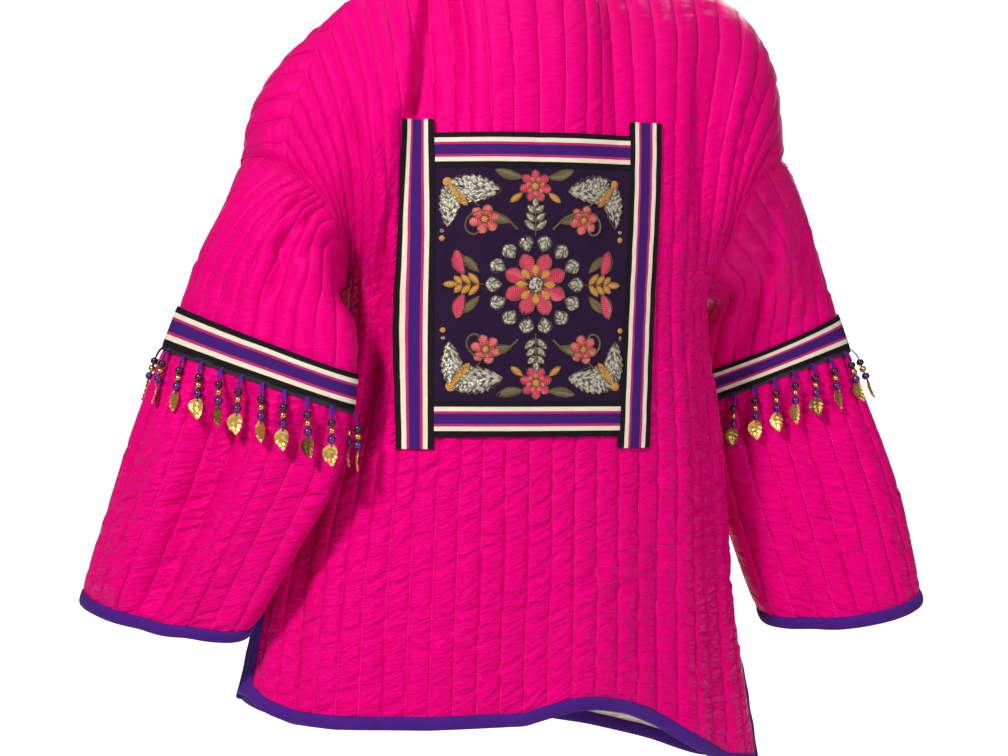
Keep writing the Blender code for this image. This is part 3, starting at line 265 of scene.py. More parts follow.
def smooth_through(points: Vec, steps: int = 24) -> Vec:
    """Points on a smooth curve through the given ones.

    Args:
        points: The points the curve goes through, one a row.
        steps: Points made for each stretch.

    Returns:
        The curve's points, one a row.
    """
    points = np.asarray(points, dtype=float)
    ends = np.vstack([2 * points[0] - points[1], points, 2 * points[-1] - points[-2]])
    made = []
    for i in range(1, len(ends) - 2):
        before, start, end, after = ends[i - 1:i + 3]
        t = np.linspace(0.0, 1.0, steps, endpoint=False)[:, None]
        made.append(0.5 * (2 * start + (end - before) * t
                           + (2 * before - 5 * start + 4 * end - after) * t ** 2
                           + (3 * start - before - 3 * end + after) * t ** 3))
    made.append(ends[-2][None, :])
    return np.vstack(made)


def run_of(points: Vec) -> Vec:
    """Distances along a line of points, from 0 at its start."""
    return np.concatenate([[0.0], np.cumsum(np.linalg.norm(np.diff(points, axis=0), axis=1))])


def along(curve: Vec, fractions: Vec) -> Vec:
    """Points at fractions of a polyline's length."""
    run = run_of(curve)
    wanted = np.asarray(fractions, dtype=float) * run[-1]
    return np.stack([np.interp(wanted, run, curve[:, i]) for i in range(curve.shape[1])], axis=-1)


def curve_weights(places: Vec) -> tuple[Vec, Vec]:
    """Where a smooth curve's four neighbours lie, and how much each counts.

    Args:
        places: Positions in whole steps of the coarse points.

    Returns:
        The first neighbour's index and the four weights, last axis.
    """
    start = np.floor(places).astype(int)
    t = (places - start)[..., None]
    weights = 0.5 * np.concatenate([-t + 2 * t ** 2 - t ** 3, 2 - 5 * t ** 2 + 3 * t ** 3,
                                    t + 4 * t ** 2 - 3 * t ** 3, -t ** 2 + t ** 3], axis=-1)
    return start - 1, weights


def smooth_rows(grid: Vec, places: Vec, closed: bool = False) -> Vec:
    """Sample a coarse grid's first axis smoothly.

    Args:
        grid: Coarse values, first axis to be sampled.
        places: Positions along that axis.
        closed: Whether the axis runs round.

    Returns:
        The sampled grid.
    """
    count = grid.shape[0]
    if closed:
        start, weights = curve_weights(places)
    else:
        places = np.clip(places, 0.0, count - 1 - 1e-9)
        start, weights = curve_weights(places)
        grid = np.concatenate([2 * grid[:1] - grid[1:2], grid, 2 * grid[-1:] - grid[-2:-1]])
        start = start + 1
        count += 2
    made = 0.0
    for offset in range(4):
        part = grid[(start + offset) % count]
        made = made + part * weights[:, offset].reshape((-1,) + (1,) * (grid.ndim - 1))
    return made


class Panel:
    """A coarse grid of points and directions that can be sampled smoothly."""

    points: Vec
    normals: Vec
    first: float

    def sample(self, rows: Vec, k: Vec) -> tuple[Vec, Vec]:
        """Smooth points and directions.

        Args:
            rows: Fractional rows, one for each line.
            k: Channels, a row of them for each line.

        Returns:
            Points and directions, lines by channels.
        """
        both = np.concatenate([self.points, self.normals], axis=-1)
        lines = smooth_rows(both, rows)
        lines = np.concatenate([2 * lines[:, :1] - lines[:, 1:2], lines, 2 * lines[:, -1:] - lines[:, -2:-1]],
                               axis=1)
        places = np.clip((k - self.first) * 2.0, 0.0, self.points.shape[1] - 1 - 1e-9)
        start, weights = curve_weights(places)
        across = np.arange(len(rows))[:, None]
        made = 0.0
        for offset in range(4):
            made = made + lines[across, start + 1 + offset] * weights[..., offset][..., None]
        return made[..., :3], unit(made[..., 3:])


@dataclass
class Quarter(Panel):
    """Coarse points of half a back or of one front, rows by half channels.

    Args:
        side: Left or right.
        face: Back or front.
    """

    side: Side
    face: Face
    k: Vec = field(init=False)
    points: Vec = field(init=False)
    normals: Vec = field(init=False)
    last: list[int] = field(init=False)

    def __post_init__(self) -> None:
        """Shape the quarter: the cut, its easing and its large folds."""
        self.first = 0.0 if self.face == BACK else FRONT_EDGE_K
        self.sign = -1.0 if self.side == LEFT else 1.0
        self.k = np.arange(self.first, SHOULDER_K + 0.01, 0.5)
        self.last = [int(np.argmin(np.abs(self.k - SEAM_K[min(row, UPPER_ROWS)]))) for row in range(ROWS + 1)]
        self.points = self.cut()
        self.relax(3)
        self.normals = self.ways()
        self.fold()
        self.normals = self.even(self.ways(), 2)

    def top_point(self, k: float) -> Vec:
        """A point on the neck edge or the shoulder seam."""
        shoulder = SHOULDER[self.side]
        if k >= NECK_K:
            return along(smooth_through(shoulder), [(k - NECK_K) / (SHOULDER_K - NECK_K)])[0]
        side = np.array(shoulder[0])
        angle = (k - self.first) / (NECK_K - self.first) * math.pi / 2
        start = np.array(NECK_BACK if self.face == BACK else NECK_FRONT) * (self.sign, 1.0, 1.0)
        turn = math.cos(angle)
        return np.array([start[0] + (side[0] - start[0]) * math.sin(angle),
                         side[1] + (start[1] - side[1]) * turn, side[2] + (start[2] - side[2]) * turn])

    def body(self, name: str, w: float) -> float:
        """A size of the body's sections, from pit to hem."""
        return float(np.interp(w, BODY["w"], BODY[name]))

    def section_point(self, w: float, k: float) -> Vec:
        """A point of a body section at a channel, at its height."""
        centre = self.body("centre", w)
        half_x = self.body(self.side.value, w) - centre
        half_y = self.body(self.face.value, w) - PIT_Y
        angle = np.linspace(0.0, math.pi / 2, CURVE_STEPS)
        power = 2.0 / SECTION_POWER
        curve = np.stack([centre + half_x * np.sin(angle) ** power, PIT_Y + half_y * np.cos(angle) ** power],
                         axis=-1)
        length = float(np.linalg.norm(np.diff(curve, axis=0), axis=1).sum())
        spare = length - self.body("vent", w) - CHANNEL * SIDE_K
        distance = CHANNEL * k + spare * (k / SIDE_K) ** 2
        x, y = along(curve, [distance / length])[0]
        hem = np.interp(k, *HEM[self.side, self.face]) + BIND_WIDTH
        return np.array([x, y, PIT_Z + (hem - PIT_Z) * w])

    def centre_point(self, v: float) -> Vec:
        """A point on the centre back, or on a front's free edge, above the pits' level."""
        if self.face == BACK:
            return along(smooth_through(CENTRE_BACK), [v])[0]
        start = self.top_point(FRONT_EDGE_K)
        end = self.section_point(0.0, FRONT_EDGE_K)
        deep, high = along(smooth_through(CENTRE_FRONT_Y), [v])[0]
        return np.array([start[0] + (end[0] - start[0]) * v, deep, high])

    def over_shoulder(self, k: float, u: float, v: float) -> Vec:
        """How far a front stands out over the chest and past the shoulder seam."""
        chest = FRONT_RISE * math.sin(math.pi * v) * math.sin(math.pi * u)
        made = np.array([0.0, chest, CHEST_LIFT * chest])
        if k > NECK_K and v < RIDGE_V:
            run = unit(self.top_point(min(k + 0.5, SHOULDER_K)) - self.top_point(max(k - 0.5, NECK_K)))
            out = unit(np.array([-run[2] * self.sign, 0.0, run[0] * self.sign]))
            made += out * np.interp(k, *RIDGE[self.side]) * math.sin(math.pi * v / RIDGE_V)
        return made

    def cut(self) -> Vec:
        """The quarter before easing: a patch above the pits and sections below them."""
        points = np.zeros((ROWS + 1, len(self.k), 3))
        corners = (self.top_point(self.first), self.top_point(SHOULDER_K),
                   self.section_point(0.0, self.first), self.section_point(0.0, SIDE_K))
        arm = smooth_through(ARMHOLE[self.side, self.face])
        for row in range(UPPER_ROWS + 1):
            v = row / UPPER_ROWS
            last = SEAM_K[row]
            middle = self.centre_point(v)
            seam = along(arm, [v])[0]
            for index, k in enumerate(self.k):
                here = min(k, last)
                u = (here - self.first) / (last - self.first)
                top_k = here + (SHOULDER_K - last) * u * u
                blend = ((1 - v) * self.top_point(top_k)
                         + v * self.section_point(0.0, here - (last - SIDE_K) * u * u)
                         + (1 - u) * middle + u * seam)
                blend -= ((1 - v) * ((1 - u) * corners[0] + u * corners[1])
                          + v * ((1 - u) * corners[2] + u * corners[3]))
                if self.face == FRONT:
                    blend += self.over_shoulder(top_k, u, v)
                points[row, index] = blend
        for step, w in enumerate(LOWER_W):
            for index, k in enumerate(self.k):
                points[UPPER_ROWS + 1 + step, index] = self.section_point(w, min(k, SIDE_K))
        return points

    def relax(self, times: int) -> None:
        """Even out the inside, leaving the edges where they are."""
        points = self.points
        for _ in range(times):
            moved = points.copy()
            for row in range(1, ROWS):
                for index in range(1 if self.face == FRONT else 0, min(self.last[row], self.last[row + 1])):
                    around = points[row - 1, index] + points[row + 1, index]
                    if index:
                        around = (around + points[row, index - 1] + points[row, index + 1]) / 2
                    moved[row, index] = points[row, index] + 0.5 * (around / 2 - points[row, index])
            points = moved
        self.points = points

    def ways(self) -> Vec:
        """Outward directions, each row ending at its own last column."""
        points, rows = self.points, self.points.shape[0]
        made = np.zeros_like(points)
        for row in range(rows):
            for index in range(points.shape[1]):
                here = min(index, self.last[row])
                across = points[row, min(here + 1, self.last[row])] - points[row, max(here - 1, 0)]
                down = points[min(row + 1, rows - 1), here] - points[max(row - 1, 0), here]
                made[row, index] = np.cross(across, down)
        made = unit(made)
        middle = np.array([BODY_MIDDLE_X, 0.0, points[..., 2].mean()])
        return made if float((made * (points - middle)).sum()) > 0 else -made

    def even(self, normals: Vec, times: int) -> Vec:
        """Directions eased towards their neighbours'."""
        rows = normals.shape[0]
        for _ in range(times):
            made = normals.copy()
            for row in range(rows):
                last = self.last[row]
                for index in range(last + 1):
                    total = 2.0 * normals[row, index]
                    total = total + normals[row, max(index - 1, 0)] + normals[row, min(index + 1, last)]
                    for other in (max(row - 1, 0), min(row + 1, rows - 1)):
                        total = total + normals[other, min(index, self.last[other])]
                    made[row, index] = total
                made[row, last + 1:] = made[row, last]
            normals = unit(made)
        return normals

    def fold(self) -> None:
        """Push the large folds in."""
        for k_top, k_low, row_top, row_low, depth, half in FOLDS[self.side, self.face]:
            for row in range(1, ROWS + 1):
                share = (row - row_top) / (row_low - row_top)
                if not 0.0 < share < 1.0:
                    continue
                at = k_top + (k_low - k_top) * share
                fade = math.sin(math.pi * min(share * FOLD_LATE, 1.0)) ** FOLD_POWER
                if row_low > ROWS:
                    fade = math.sin(math.pi / 2 * min(share * FOLD_OPEN, 1.0))
                count = self.last[row] - 1
                reach = (self.k[:count] - at) / half
                self.points[row, :count] -= (self.normals[row, :count]
                                             * (depth * fade * np.exp(-reach * reach))[:, None])

    def spread(self) -> None:
        """Carry every row on past its last column, so that rows between rows can be sampled."""
        for row, last in enumerate(self.last):
            step = self.points[row, last] - self.points[row, last - 1]
            for index in range(last + 1, len(self.k)):
                reach = min(index - last, 2)
                self.points[row, index] = self.points[row, last] + step * reach
                self.normals[row, index] = self.normals[row, last]

    def edge(self, rows: Vec) -> Vec:
        """Points on the armhole or side seam at fractional rows."""
        last_k = np.interp(rows, np.arange(ROWS + 1), [self.k[i] for i in self.last])
        return self.sample(rows, last_k[:, None])[0][:, 0]


class BodyShape:
    """The four quarters with their seams shared."""

    def __init__(self) -> None:
        """Shape the quarters and share directions along the shoulder and side seams."""
        self.quarters = {(side, face): Quarter(side, face) for side in Side for face in Face}
        offset = int(FRONT_EDGE_K * 2)
        for side in Side:
            back, front = self.quarters[side, BACK], self.quarters[side, FRONT]
            for index in range(int(NECK_K * 2), len(back.k)):
                both = unit(back.normals[0, index] + front.normals[0, index - offset])
                back.normals[0, index] = both
                front.normals[0, index - offset] = both
            for row in range(UPPER_ROWS, VENT_ROW + 1):
                both = unit(back.normals[row, back.last[row]] + front.normals[row, front.last[row]])
                back.normals[row, back.last[row]:] = both
                front.normals[row, front.last[row]:] = both


class SleeveShape:
    """Coarse rings of one sleeve, down the arm by half channels round it."""

    def __init__(self, side: Side, body: BodyShape) -> None:
        """Shape the sleeve and share directions along the armhole.

        Args:
            side: Left or right.
            body: The body that it is set on.
        """
        self.side = side
        self.back, self.front = body.quarters[side, BACK], body.quarters[side, FRONT]
        self.levels = np.array(SLEEVE_LEVELS)
        self.points = self.rings()
        across = np.roll(self.points, -1, axis=1) - np.roll(self.points, 1, axis=1)
        normals = unit(np.cross(across, np.gradient(self.points, axis=0)))
        if float((normals * (self.points - self.points.mean(axis=1, keepdims=True))).sum()) < 0:
            normals = -normals
        self.normals = normals
        self.join()
        self.length = float(run_of(self.points.mean(axis=1))[-1])
        self.band_end = BAND_TOP + RIBBON_WIDTH / self.length

    def seam(self, values: str) -> Vec:
        """The armhole's points or directions as one ring: down the back to the pit and up the front."""
        parts = [getattr(self.back, values)[row, self.back.last[row]] for row in range(UPPER_ROWS + 1)]
        parts += [getattr(self.front, values)[row, self.front.last[row]]
                  for row in range(UPPER_ROWS - 1, -1, -1)]
        ring = []
        for start, end in zip(parts[:-1], parts[1:]):
            ring += [start, (start + end) / 2]
        return np.array(ring)

    def angles(self, outer: float, thick: float) -> Vec:
        """Angles round a flat tube, evenly spaced by length from the shoulder line to the pit and back."""
        made = []
        phase = SLEEVE[self.side]["phase"]
        for begin, end in ((phase, 180.0), (180.0, 360.0 + phase)):
            dense = np.radians(np.linspace(begin, end, 120))
            curve = np.stack([outer * np.cos(dense), thick * np.sin(dense)], axis=-1)
            run = run_of(curve)
            made.append(np.interp(np.linspace(0.0, run[-1], SLEEVE_COLUMNS // 2, endpoint=False), run, dense))
        return np.concatenate(made)

    def rings(self) -> Vec:
        """Every ring's points."""
        sizes = SLEEVE[self.side]
        ring = self.seam("points")
        middle = ring.mean(axis=0)
        table = [[f, *(middle if i == 0 else sizes["centre"][i]), *sizes["outer"][max(i, 1)],
                  sizes["thick"][max(i, 1)], 0.0 if i == 0 else sizes["sag"][i]]
                 for i, f in enumerate(SLEEVE_F)]
        spread = smooth_through(np.array(table), 12)
        rows = np.stack([np.interp(self.levels, spread[:, 0], spread[:, i]) for i in range(1, 9)], axis=-1)
        tangent = unit(np.gradient(rows[:, 0:3], axis=0))
        grid = np.zeros((len(self.levels), SLEEVE_COLUMNS, 3))
        for index, level in enumerate(self.levels):
            outer, thick = rows[index, 3:6], rows[index, 6]
            behind = unit(np.cross(outer, tangent[index]))
            behind = -behind if behind[1] > 0 else behind
            angles = self.angles(float(np.linalg.norm(outer)), thick)[:, None]
            behind = behind * thick - np.array([0.0, 0.0, rows[index, 7]])
            shape = rows[index, 0:3] + np.cos(angles) * outer + np.sin(angles) * behind
            weight = ease(level / SLEEVE_BLEND)
            grid[index] = (1 - weight) * (ring + rows[index, 0:3] - middle) + weight * shape
        grid = self.fold(grid)
        near = np.exp(-((np.arange(SLEEVE_COLUMNS) - SLEEVE_COLUMNS / 2) / PIT_COLUMNS) ** 2)
        for index, bulge in enumerate(PIT_BULGE):
            grid[index] += unit(self.seam("normals")) * (near * bulge)[:, None]
        return grid

    def fold(self, grid: Vec) -> Vec:
        """Push the large folds in."""
        away = unit(grid - grid.mean(axis=1, keepdims=True))
        made = grid.copy()
        for col_top, col_low, top, low, depth, half in SLEEVE_FOLDS[self.side]:
            for row, level in enumerate(self.levels):
                share = (level - top) / (low - top)
                if not 0.0 < share < 1.0:
                    continue
                fade = math.sin(math.pi * share) if low <= 1.0 else math.sin(math.pi / 2 * share)
                apart = np.abs(np.arange(SLEEVE_COLUMNS) - (col_top + (col_low - col_top) * share))
                apart = np.minimum(apart, SLEEVE_COLUMNS - apart)
                made[row] -= away[row] * (depth * fade * np.exp(-(apart / half) ** 2))[:, None]
        return made

    def join(self) -> None:
        """Share directions along the armhole: the mean where it lies flat, nearly each its own in a fold."""
        for row in range(UPPER_ROWS + 1):
            for face, column in ((self.back, 2 * row), (self.front, SLEEVE_COLUMNS - 2 * row)):
                column %= SLEEVE_COLUMNS
                last = face.last[row]
                here = face.points[row, last]
                body_out = (self.back.normals[0, self.back.last[0]] if row == 0
                            else face.normals[row, last]).copy()
                arm_out = self.normals[0, column].copy()
                turn = float(unit(self.points[2, column] - here).dot(body_out)
                             + unit(face.points[row, last - 2] - here).dot(arm_out))
                share = min(max(1.0 - ARM_FOLD_WEIGHT * turn, ARM_SHARE), 1.0)
                face.normals[row, last:] = unit(body_out + arm_out * share)
                self.normals[0, column] = unit(arm_out + body_out * share)
        odd = np.arange(1, SLEEVE_COLUMNS, 2)
        self.normals[0, odd] = unit(self.normals[0, odd - 1] + self.normals[0, (odd + 1) % SLEEVE_COLUMNS])

    def sample(self, levels: Vec, columns: Vec) -> tuple[Vec, Vec]:
        """Smooth points and directions.

        Args:
            levels: Distances down the arm, 0 to 1.
            columns: Half channels round, 0 to 36.

        Returns:
            Points and directions, levels by columns.
        """
        both = np.concatenate([self.points, self.normals], axis=-1)
        places = np.interp(levels, self.levels, np.arange(len(self.levels)))
        lines = smooth_rows(both, places)
        made = np.swapaxes(smooth_rows(np.swapaxes(lines, 0, 1), columns, closed=True), 0, 1)
        points, normals = made[..., :3], unit(made[..., 3:])
        rows = np.where(columns <= SLEEVE_COLUMNS / 2, columns, SLEEVE_COLUMNS - columns) / 2
        behind = (columns <= SLEEVE_COLUMNS / 2)[:, None]
        exact = np.where(behind, self.back.edge(rows), self.front.edge(rows))
        start = np.swapaxes(smooth_rows(np.swapaxes(both[:1], 0, 1), columns, closed=True), 0, 1)[0, :, :3]
        fade = (1.0 - ease(levels / SEAM_FADE))[:, None, None]
        return points + (exact - start)[None] * fade, normals


class WholeBack(Panel):
    """Both halves of the back in one panel, with channels counted from the centre."""

    def __init__(self, body: "BodyShape") -> None:
        """Join the halves.

        Args:
            body: The body that holds them.
        """
        left, right = body.quarters[LEFT, BACK], body.quarters[RIGHT, BACK]
        self.points = np.concatenate([left.points[:, :0:-1], right.points], axis=1)
        self.normals = np.concatenate([left.normals[:, :0:-1], right.normals], axis=1)
        middle = len(left.k) - 1
        self.points[:, middle] = (left.points[:, 0] + right.points[:, 0]) / 2
        self.normals[:, middle] = unit(left.normals[:, 0] + right.normals[:, 0])
        self.first = -SHOULDER_K

    def find(self, x: Vec, z: Vec, start: tuple[float, float] = (8.0, 0.0)) -> tuple[Vec, Vec]:
        """Rows and channels at which the back passes given places, seen square on.

        Args:
            x: Places across.
            z: Heights.
            start: The row and channel to look from.

        Returns:
            Rows and channels, as long as the places.
        """
        rows, k = np.full(len(x), start[0]), np.full(len(x), start[1])
        small = 0.02
        for _ in range(12):
            here = self.sample(rows, k[:, None])[0][:, 0]
            down = (self.sample(rows + small, k[:, None])[0][:, 0] - here) / small
            side = (self.sample(rows, k[:, None] + small)[0][:, 0] - here) / small
            off_x, off_z = x - here[:, 0], z - here[:, 2]
            size = side[:, 0] * down[:, 2] - down[:, 0] * side[:, 2]
            size = np.where(np.abs(size) < 1e-7, 1e-7, size)
            step_k = np.clip((off_x * down[:, 2] - off_z * down[:, 0]) / size, -2, 2)
            step_rows = np.clip((off_z * side[:, 0] - off_x * side[:, 2]) / size, -2, 2)
            k = np.clip(k + step_k, -13, 13)
            rows = np.clip(rows + step_rows, 0, ROWS - 1)
        return rows, k

    def place(self, x: Vec, z: Vec, height: Vec | float) -> Vec:
        """Points above the back at given places, seen square on."""
        rows, k = self.find(x, z)
        points, ways = self.sample(rows, k[:, None])
        return points[:, 0] + ways[:, 0] * np.broadcast_to(height, len(x))[:, None]


# MESHES


def turned(points: Vec) -> Vec:
    """Points turned about the upright, from the garment's frame to the part's."""
    angle = math.radians(TURN_DEG)
    x, y, z = points[..., 0], points[..., 1], points[..., 2]
    return np.stack([x * math.cos(angle) - y * math.sin(angle), x * math.sin(angle) + y * math.cos(angle), z],
                    axis=-1)


@dataclass
class Grid:
    """A grid of cloth: its outer points, its inner points and its flat coordinates in metres."""

    outer: Vec
    inner: Vec
    u: Vec
    v: Vec
    closed: bool = False

    def build(self, name: str, surface: Material) -> Object:
        """Make the closed wall between the outer and the inner points.

        Args:
            name: The object's name.
            surface: Its finish.

        Returns:
            The object.
        """
        outer, inner, u, v = self.outer, self.inner, self.u, self.v
        if self.closed:
            width = 2 * u[:, -1:] - u[:, -2:-1]
            outer, inner = (np.concatenate([part, part[:, :1]], axis=1) for part in (outer, inner))
            u, v = np.concatenate([u, width], axis=1), np.concatenate([v, v[:, :1]], axis=1)
        rows, columns = outer.shape[:2]
        mesh = bmesh.new()
        bmesh.ops.create_grid(mesh, x_segments=columns - 1, y_segments=rows - 1, size=0.5)
        row_of, column_of = mesh.verts.layers.int.new("row"), mesh.verts.layers.int.new("column")
        inside = mesh.verts.layers.float.new("lining")
        outer_at = turned(outer)
        inner_at = turned(inner)
        for vert in mesh.verts:
            row = round((0.5 - vert.co.y) * (rows - 1))
            column = round((vert.co.x + 0.5) * (columns - 1))
            vert[row_of], vert[column_of] = row, column
            vert.co = outer_at[row, column]
        bmesh.ops.remove_doubles(mesh, verts=mesh.verts[:], dist=0.00001)
        made = bmesh.ops.extrude_face_region(mesh, geom=mesh.faces[:])
        new = {item for item in made["geom"] if isinstance(item, bmesh.types.BMVert)}
        for vert in mesh.verts:
            if vert not in new:
                vert[inside] = 1.0
                vert.co = inner_at[vert[row_of], vert[column_of]]
        flat = mesh.loops.layers.uv.new("cloth")
        for face in mesh.faces:
            places = [(vert[row_of], vert[column_of]) for vert in face.verts]
            wrap = self.closed and max(c for _, c in places) - min(c for _, c in places) > columns // 2
            for loop, (row, column) in zip(face.loops, places):
                if wrap and column == 0:
                    column = columns - 1
                loop[flat].uv = (u[row, column], v[row, column])
        bmesh.ops.recalc_face_normals(mesh, faces=mesh.faces[:])
        return finished(name, mesh, [surface])


def finished(name: str, mesh: bmesh.types.BMesh, surfaces: list[Material],
             sharp: float = 50.0) -> Object:
    """An object from a finished mesh, shaded smooth but for its real edges."""
    data = bpy.data.meshes.new(name)
    mesh.to_mesh(data)
    mesh.free()
    for surface in surfaces:
        data.materials.append(surface)
    data.shade_smooth()
    data.set_sharp_from_angle(angle=math.radians(sharp))
    item = bpy.data.objects.new(name, data)
    bpy.context.collection.objects.link(item)
    log.info("%s: %d faces", name, len(data.polygons))
    return item


def declare(item: Object, slot: str, *nodes: str) -> Object:
    """Tie a piece to the frame: its body and the nodes that it stands for."""
    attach(item, "root")
    if nodes:
        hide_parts(*nodes)
    return item


# FINISHES


class Nodes:
    """A short way to write a material's nodes."""

    def __init__(self, name: str) -> None:
        """Start an empty Principled material called name."""
        self.material = bpy.data.materials.new(name)
        self.material.use_nodes = True
        self.tree = self.material.node_tree
        self.shader = self.tree.nodes["Principled BSDF"]

    def add(self, kind: str, **values: object) -> bpy.types.Node:
        """A node with its options set."""
        made = self.tree.nodes.new(kind)
        for key, value in values.items():
            setattr(made, key, value)
        return made

    def join(self, start: NodeSocket | float, end: NodeSocket) -> None:
        """Link a socket, or set a constant."""
        if isinstance(start, (int, float, tuple)):
            end.default_value = start
        else:
            self.tree.links.new(start, end)

    def maths(self, what: str, *parts: NodeSocket | float) -> NodeSocket:
        """The result of a sum on sockets or constants."""
        made = self.add("ShaderNodeMath", operation=what)
        for part, end in zip(parts, made.inputs):
            self.join(part, end)
        return made.outputs[0]

    def mix(self, share: NodeSocket | float, first: object, second: object) -> NodeSocket:
        """A mix of two colours."""
        made = self.add("ShaderNodeMix", data_type="RGBA")
        self.join(share, made.inputs["Factor"])
        for part, end in ((first, made.inputs[6]), (second, made.inputs[7])):
            self.join((*part, 1.0) if isinstance(part, tuple) else part, end)
        return made.outputs[2]

    def noise(self, where: NodeSocket, scale: float, detail: float = 3.0) -> NodeSocket:
        """Noise at a scale, 0 to 1."""
        made = self.add("ShaderNodeTexNoise")
        self.join(where, made.inputs["Vector"])
        made.inputs["Scale"].default_value = scale
        made.inputs["Detail"].default_value = detail
        return made.outputs[0]

    def scaled(self, where: NodeSocket, x: float, y: float, z: float = 1.0) -> NodeSocket:
        """Coordinates multiplied."""
        made = self.add("ShaderNodeVectorMath", operation="MULTIPLY")
        self.join(where, made.inputs[0])
        made.inputs[1].default_value = (x, y, z)
        return made.outputs[0]

    def flat(self) -> tuple[NodeSocket, NodeSocket, NodeSocket]:
        """The cloth's own coordinates in metres: both together, across and along."""
        made = self.add("ShaderNodeUVMap", uv_map="cloth")
        parts = self.add("ShaderNodeSeparateXYZ")
        self.join(made.outputs[0], parts.inputs[0])
        return made.outputs[0], parts.outputs[0], parts.outputs[1]

    def spot(self) -> NodeSocket:
        """Place on the object."""
        return self.add("ShaderNodeTexCoord").outputs["Object"]

    def bump(self, height: NodeSocket, distance: float,
             below: object = None) -> NodeSocket:
        """A bump, laid over another where one is given."""
        made = self.add("ShaderNodeBump")
        made.inputs["Distance"].default_value = distance
        made.inputs["Strength"].default_value = 1.0
        self.join(height, made.inputs["Height"])
        if below is not None:
            self.join(below, made.inputs["Normal"])
        return made.outputs[0]

    def done(self, colour: object, roughness: object, normal: object = None,
             **sizes: float) -> Material:
        """Fill the shader in.

        Args:
            colour: A colour or a socket.
            roughness: A number or a socket.
            normal: A bump, where there is one.
            sizes: Plain values of other inputs, their names with underscores.

        Returns:
            The material.
        """
        self.join((*colour, 1.0) if isinstance(colour, tuple) else colour, self.shader.inputs["Base Color"])
        self.join(roughness, self.shader.inputs["Roughness"])
        if normal is not None:
            self.join(normal, self.shader.inputs["Normal"])
        for key, value in sizes.items():
            self.shader.inputs[key.replace("_", " ")].default_value = value
        return self.material


@dataclass(frozen=True)
class Silk:
    """Magenta silk over wadding with its lining: colours, stitch length and the weave."""

    colour: tuple = (0.70, 0.0, 0.165)
    # Dark tone of the painted groove shade and of the random cloud and slub streaks
    deep: tuple = (0.34, 0.0, 0.062)
    thread: tuple = (1.0, 0.06, 0.34)
    lining: tuple = (0.84, 0.78, 0.64)
    stitch: float = 0.0030

    def make(self) -> Material:
        """Dashes of thread on every quilting line, painted shade darkening the silk towards each stitch
        groove, fine creases, a soft weave and a pale lining.
        """
        n = Nodes("magenta_silk")
        place, across, along_it = n.flat()
        beside = n.maths("PINGPONG", n.maths("DIVIDE", across, CHANNEL), 0.5)
        on_line = n.maths("LESS_THAN", beside, 0.016)
        dash = n.maths("GREATER_THAN", n.maths("FRACT", n.maths("DIVIDE", along_it, self.stitch)), 0.42)
        patch = n.noise(n.scaled(place, 9.0, 9.0), 1.0, 2.0)
        worn = n.maths("GREATER_THAN", patch, 0.44)
        seam = n.maths("MULTIPLY", n.maths("MULTIPLY", on_line, dash), n.maths("MULTIPLY", worn, 0.55))
        cloudy = n.noise(n.scaled(place, 14.0, 7.0), 1.0, 4.0)
        # Painted shade: the silk's colour darkens towards each stitch line, where the grooves fall into shade
        groove = n.maths("SMOOTH_MIN", beside, 0.09, 0.05)
        low = n.maths("SUBTRACT", 0.36, n.maths("MULTIPLY", groove, 6.0))
        low = n.maths("MAXIMUM", low, 0.0)
        slub = n.noise(n.scaled(place, 55.0, 820.0), 1.0, 3.0)
        shade = n.maths("ADD", n.maths("MULTIPLY", cloudy, 0.16), n.maths("MULTIPLY_ADD", slub, 0.9, -0.33))
        # Mix towards the dark tone: painted groove shade plus random cloud and slub tone
        tone = n.mix(n.maths("ADD", low, shade), self.colour, self.deep)
        tone = n.mix(seam, tone, self.thread)
        inside = n.add("ShaderNodeAttribute", attribute_name="lining")
        tone = n.mix(inside.outputs["Fac"], tone, self.lining)
        slanted = n.add("ShaderNodeCombineXYZ")
        n.join(n.maths("MULTIPLY", across, 21.0), slanted.inputs[0])
        n.join(n.maths("MULTIPLY", n.maths("MULTIPLY_ADD", across, 0.35, along_it), 66.0), slanted.inputs[1])
        folds = n.maths("MULTIPLY", n.noise(slanted.outputs[0], 1.0, 4.0), 2.0)
        ridges = n.maths("SUBTRACT", n.maths("PINGPONG", folds, 1.0), 0.82)
        creases = n.maths("MULTIPLY", ridges, n.maths("MINIMUM", n.maths("MULTIPLY", beside, 6.0), 1.0))
        lower = n.maths("MAXIMUM", n.maths("MULTIPLY_ADD", along_it, 5.0, -0.5), 0.22)
        creases = n.maths("MULTIPLY", creases, n.maths("MINIMUM", lower, 1.0))
        creases = n.maths("ADD", creases, n.maths("MULTIPLY", slub, 0.05))
        weave = n.add("ShaderNodeTexWave", wave_type="BANDS", bands_direction="Y")
        n.join(n.scaled(place, 1.0, 1.0), weave.inputs["Vector"])
        weave.inputs["Scale"].default_value = 620.0
        weave.inputs["Distortion"].default_value = 3.0
        rough = n.bump(creases, 0.0072)
        pulled = n.bump(n.maths("MULTIPLY", on_line, n.maths("SUBTRACT", dash, 0.5)), 0.0004, rough)
        woven = n.bump(weave.outputs[1], 0.00005, pulled)
        return n.done(tone, 0.32, woven, Specular_IOR_Level=0.28, Sheen_Weight=0.02, Sheen_Roughness=0.4,
                      Sheen_Tint=(1.0, 0.05, 0.35, 1.0), Specular_Tint=(1.0, 0.03, 0.35, 1.0))


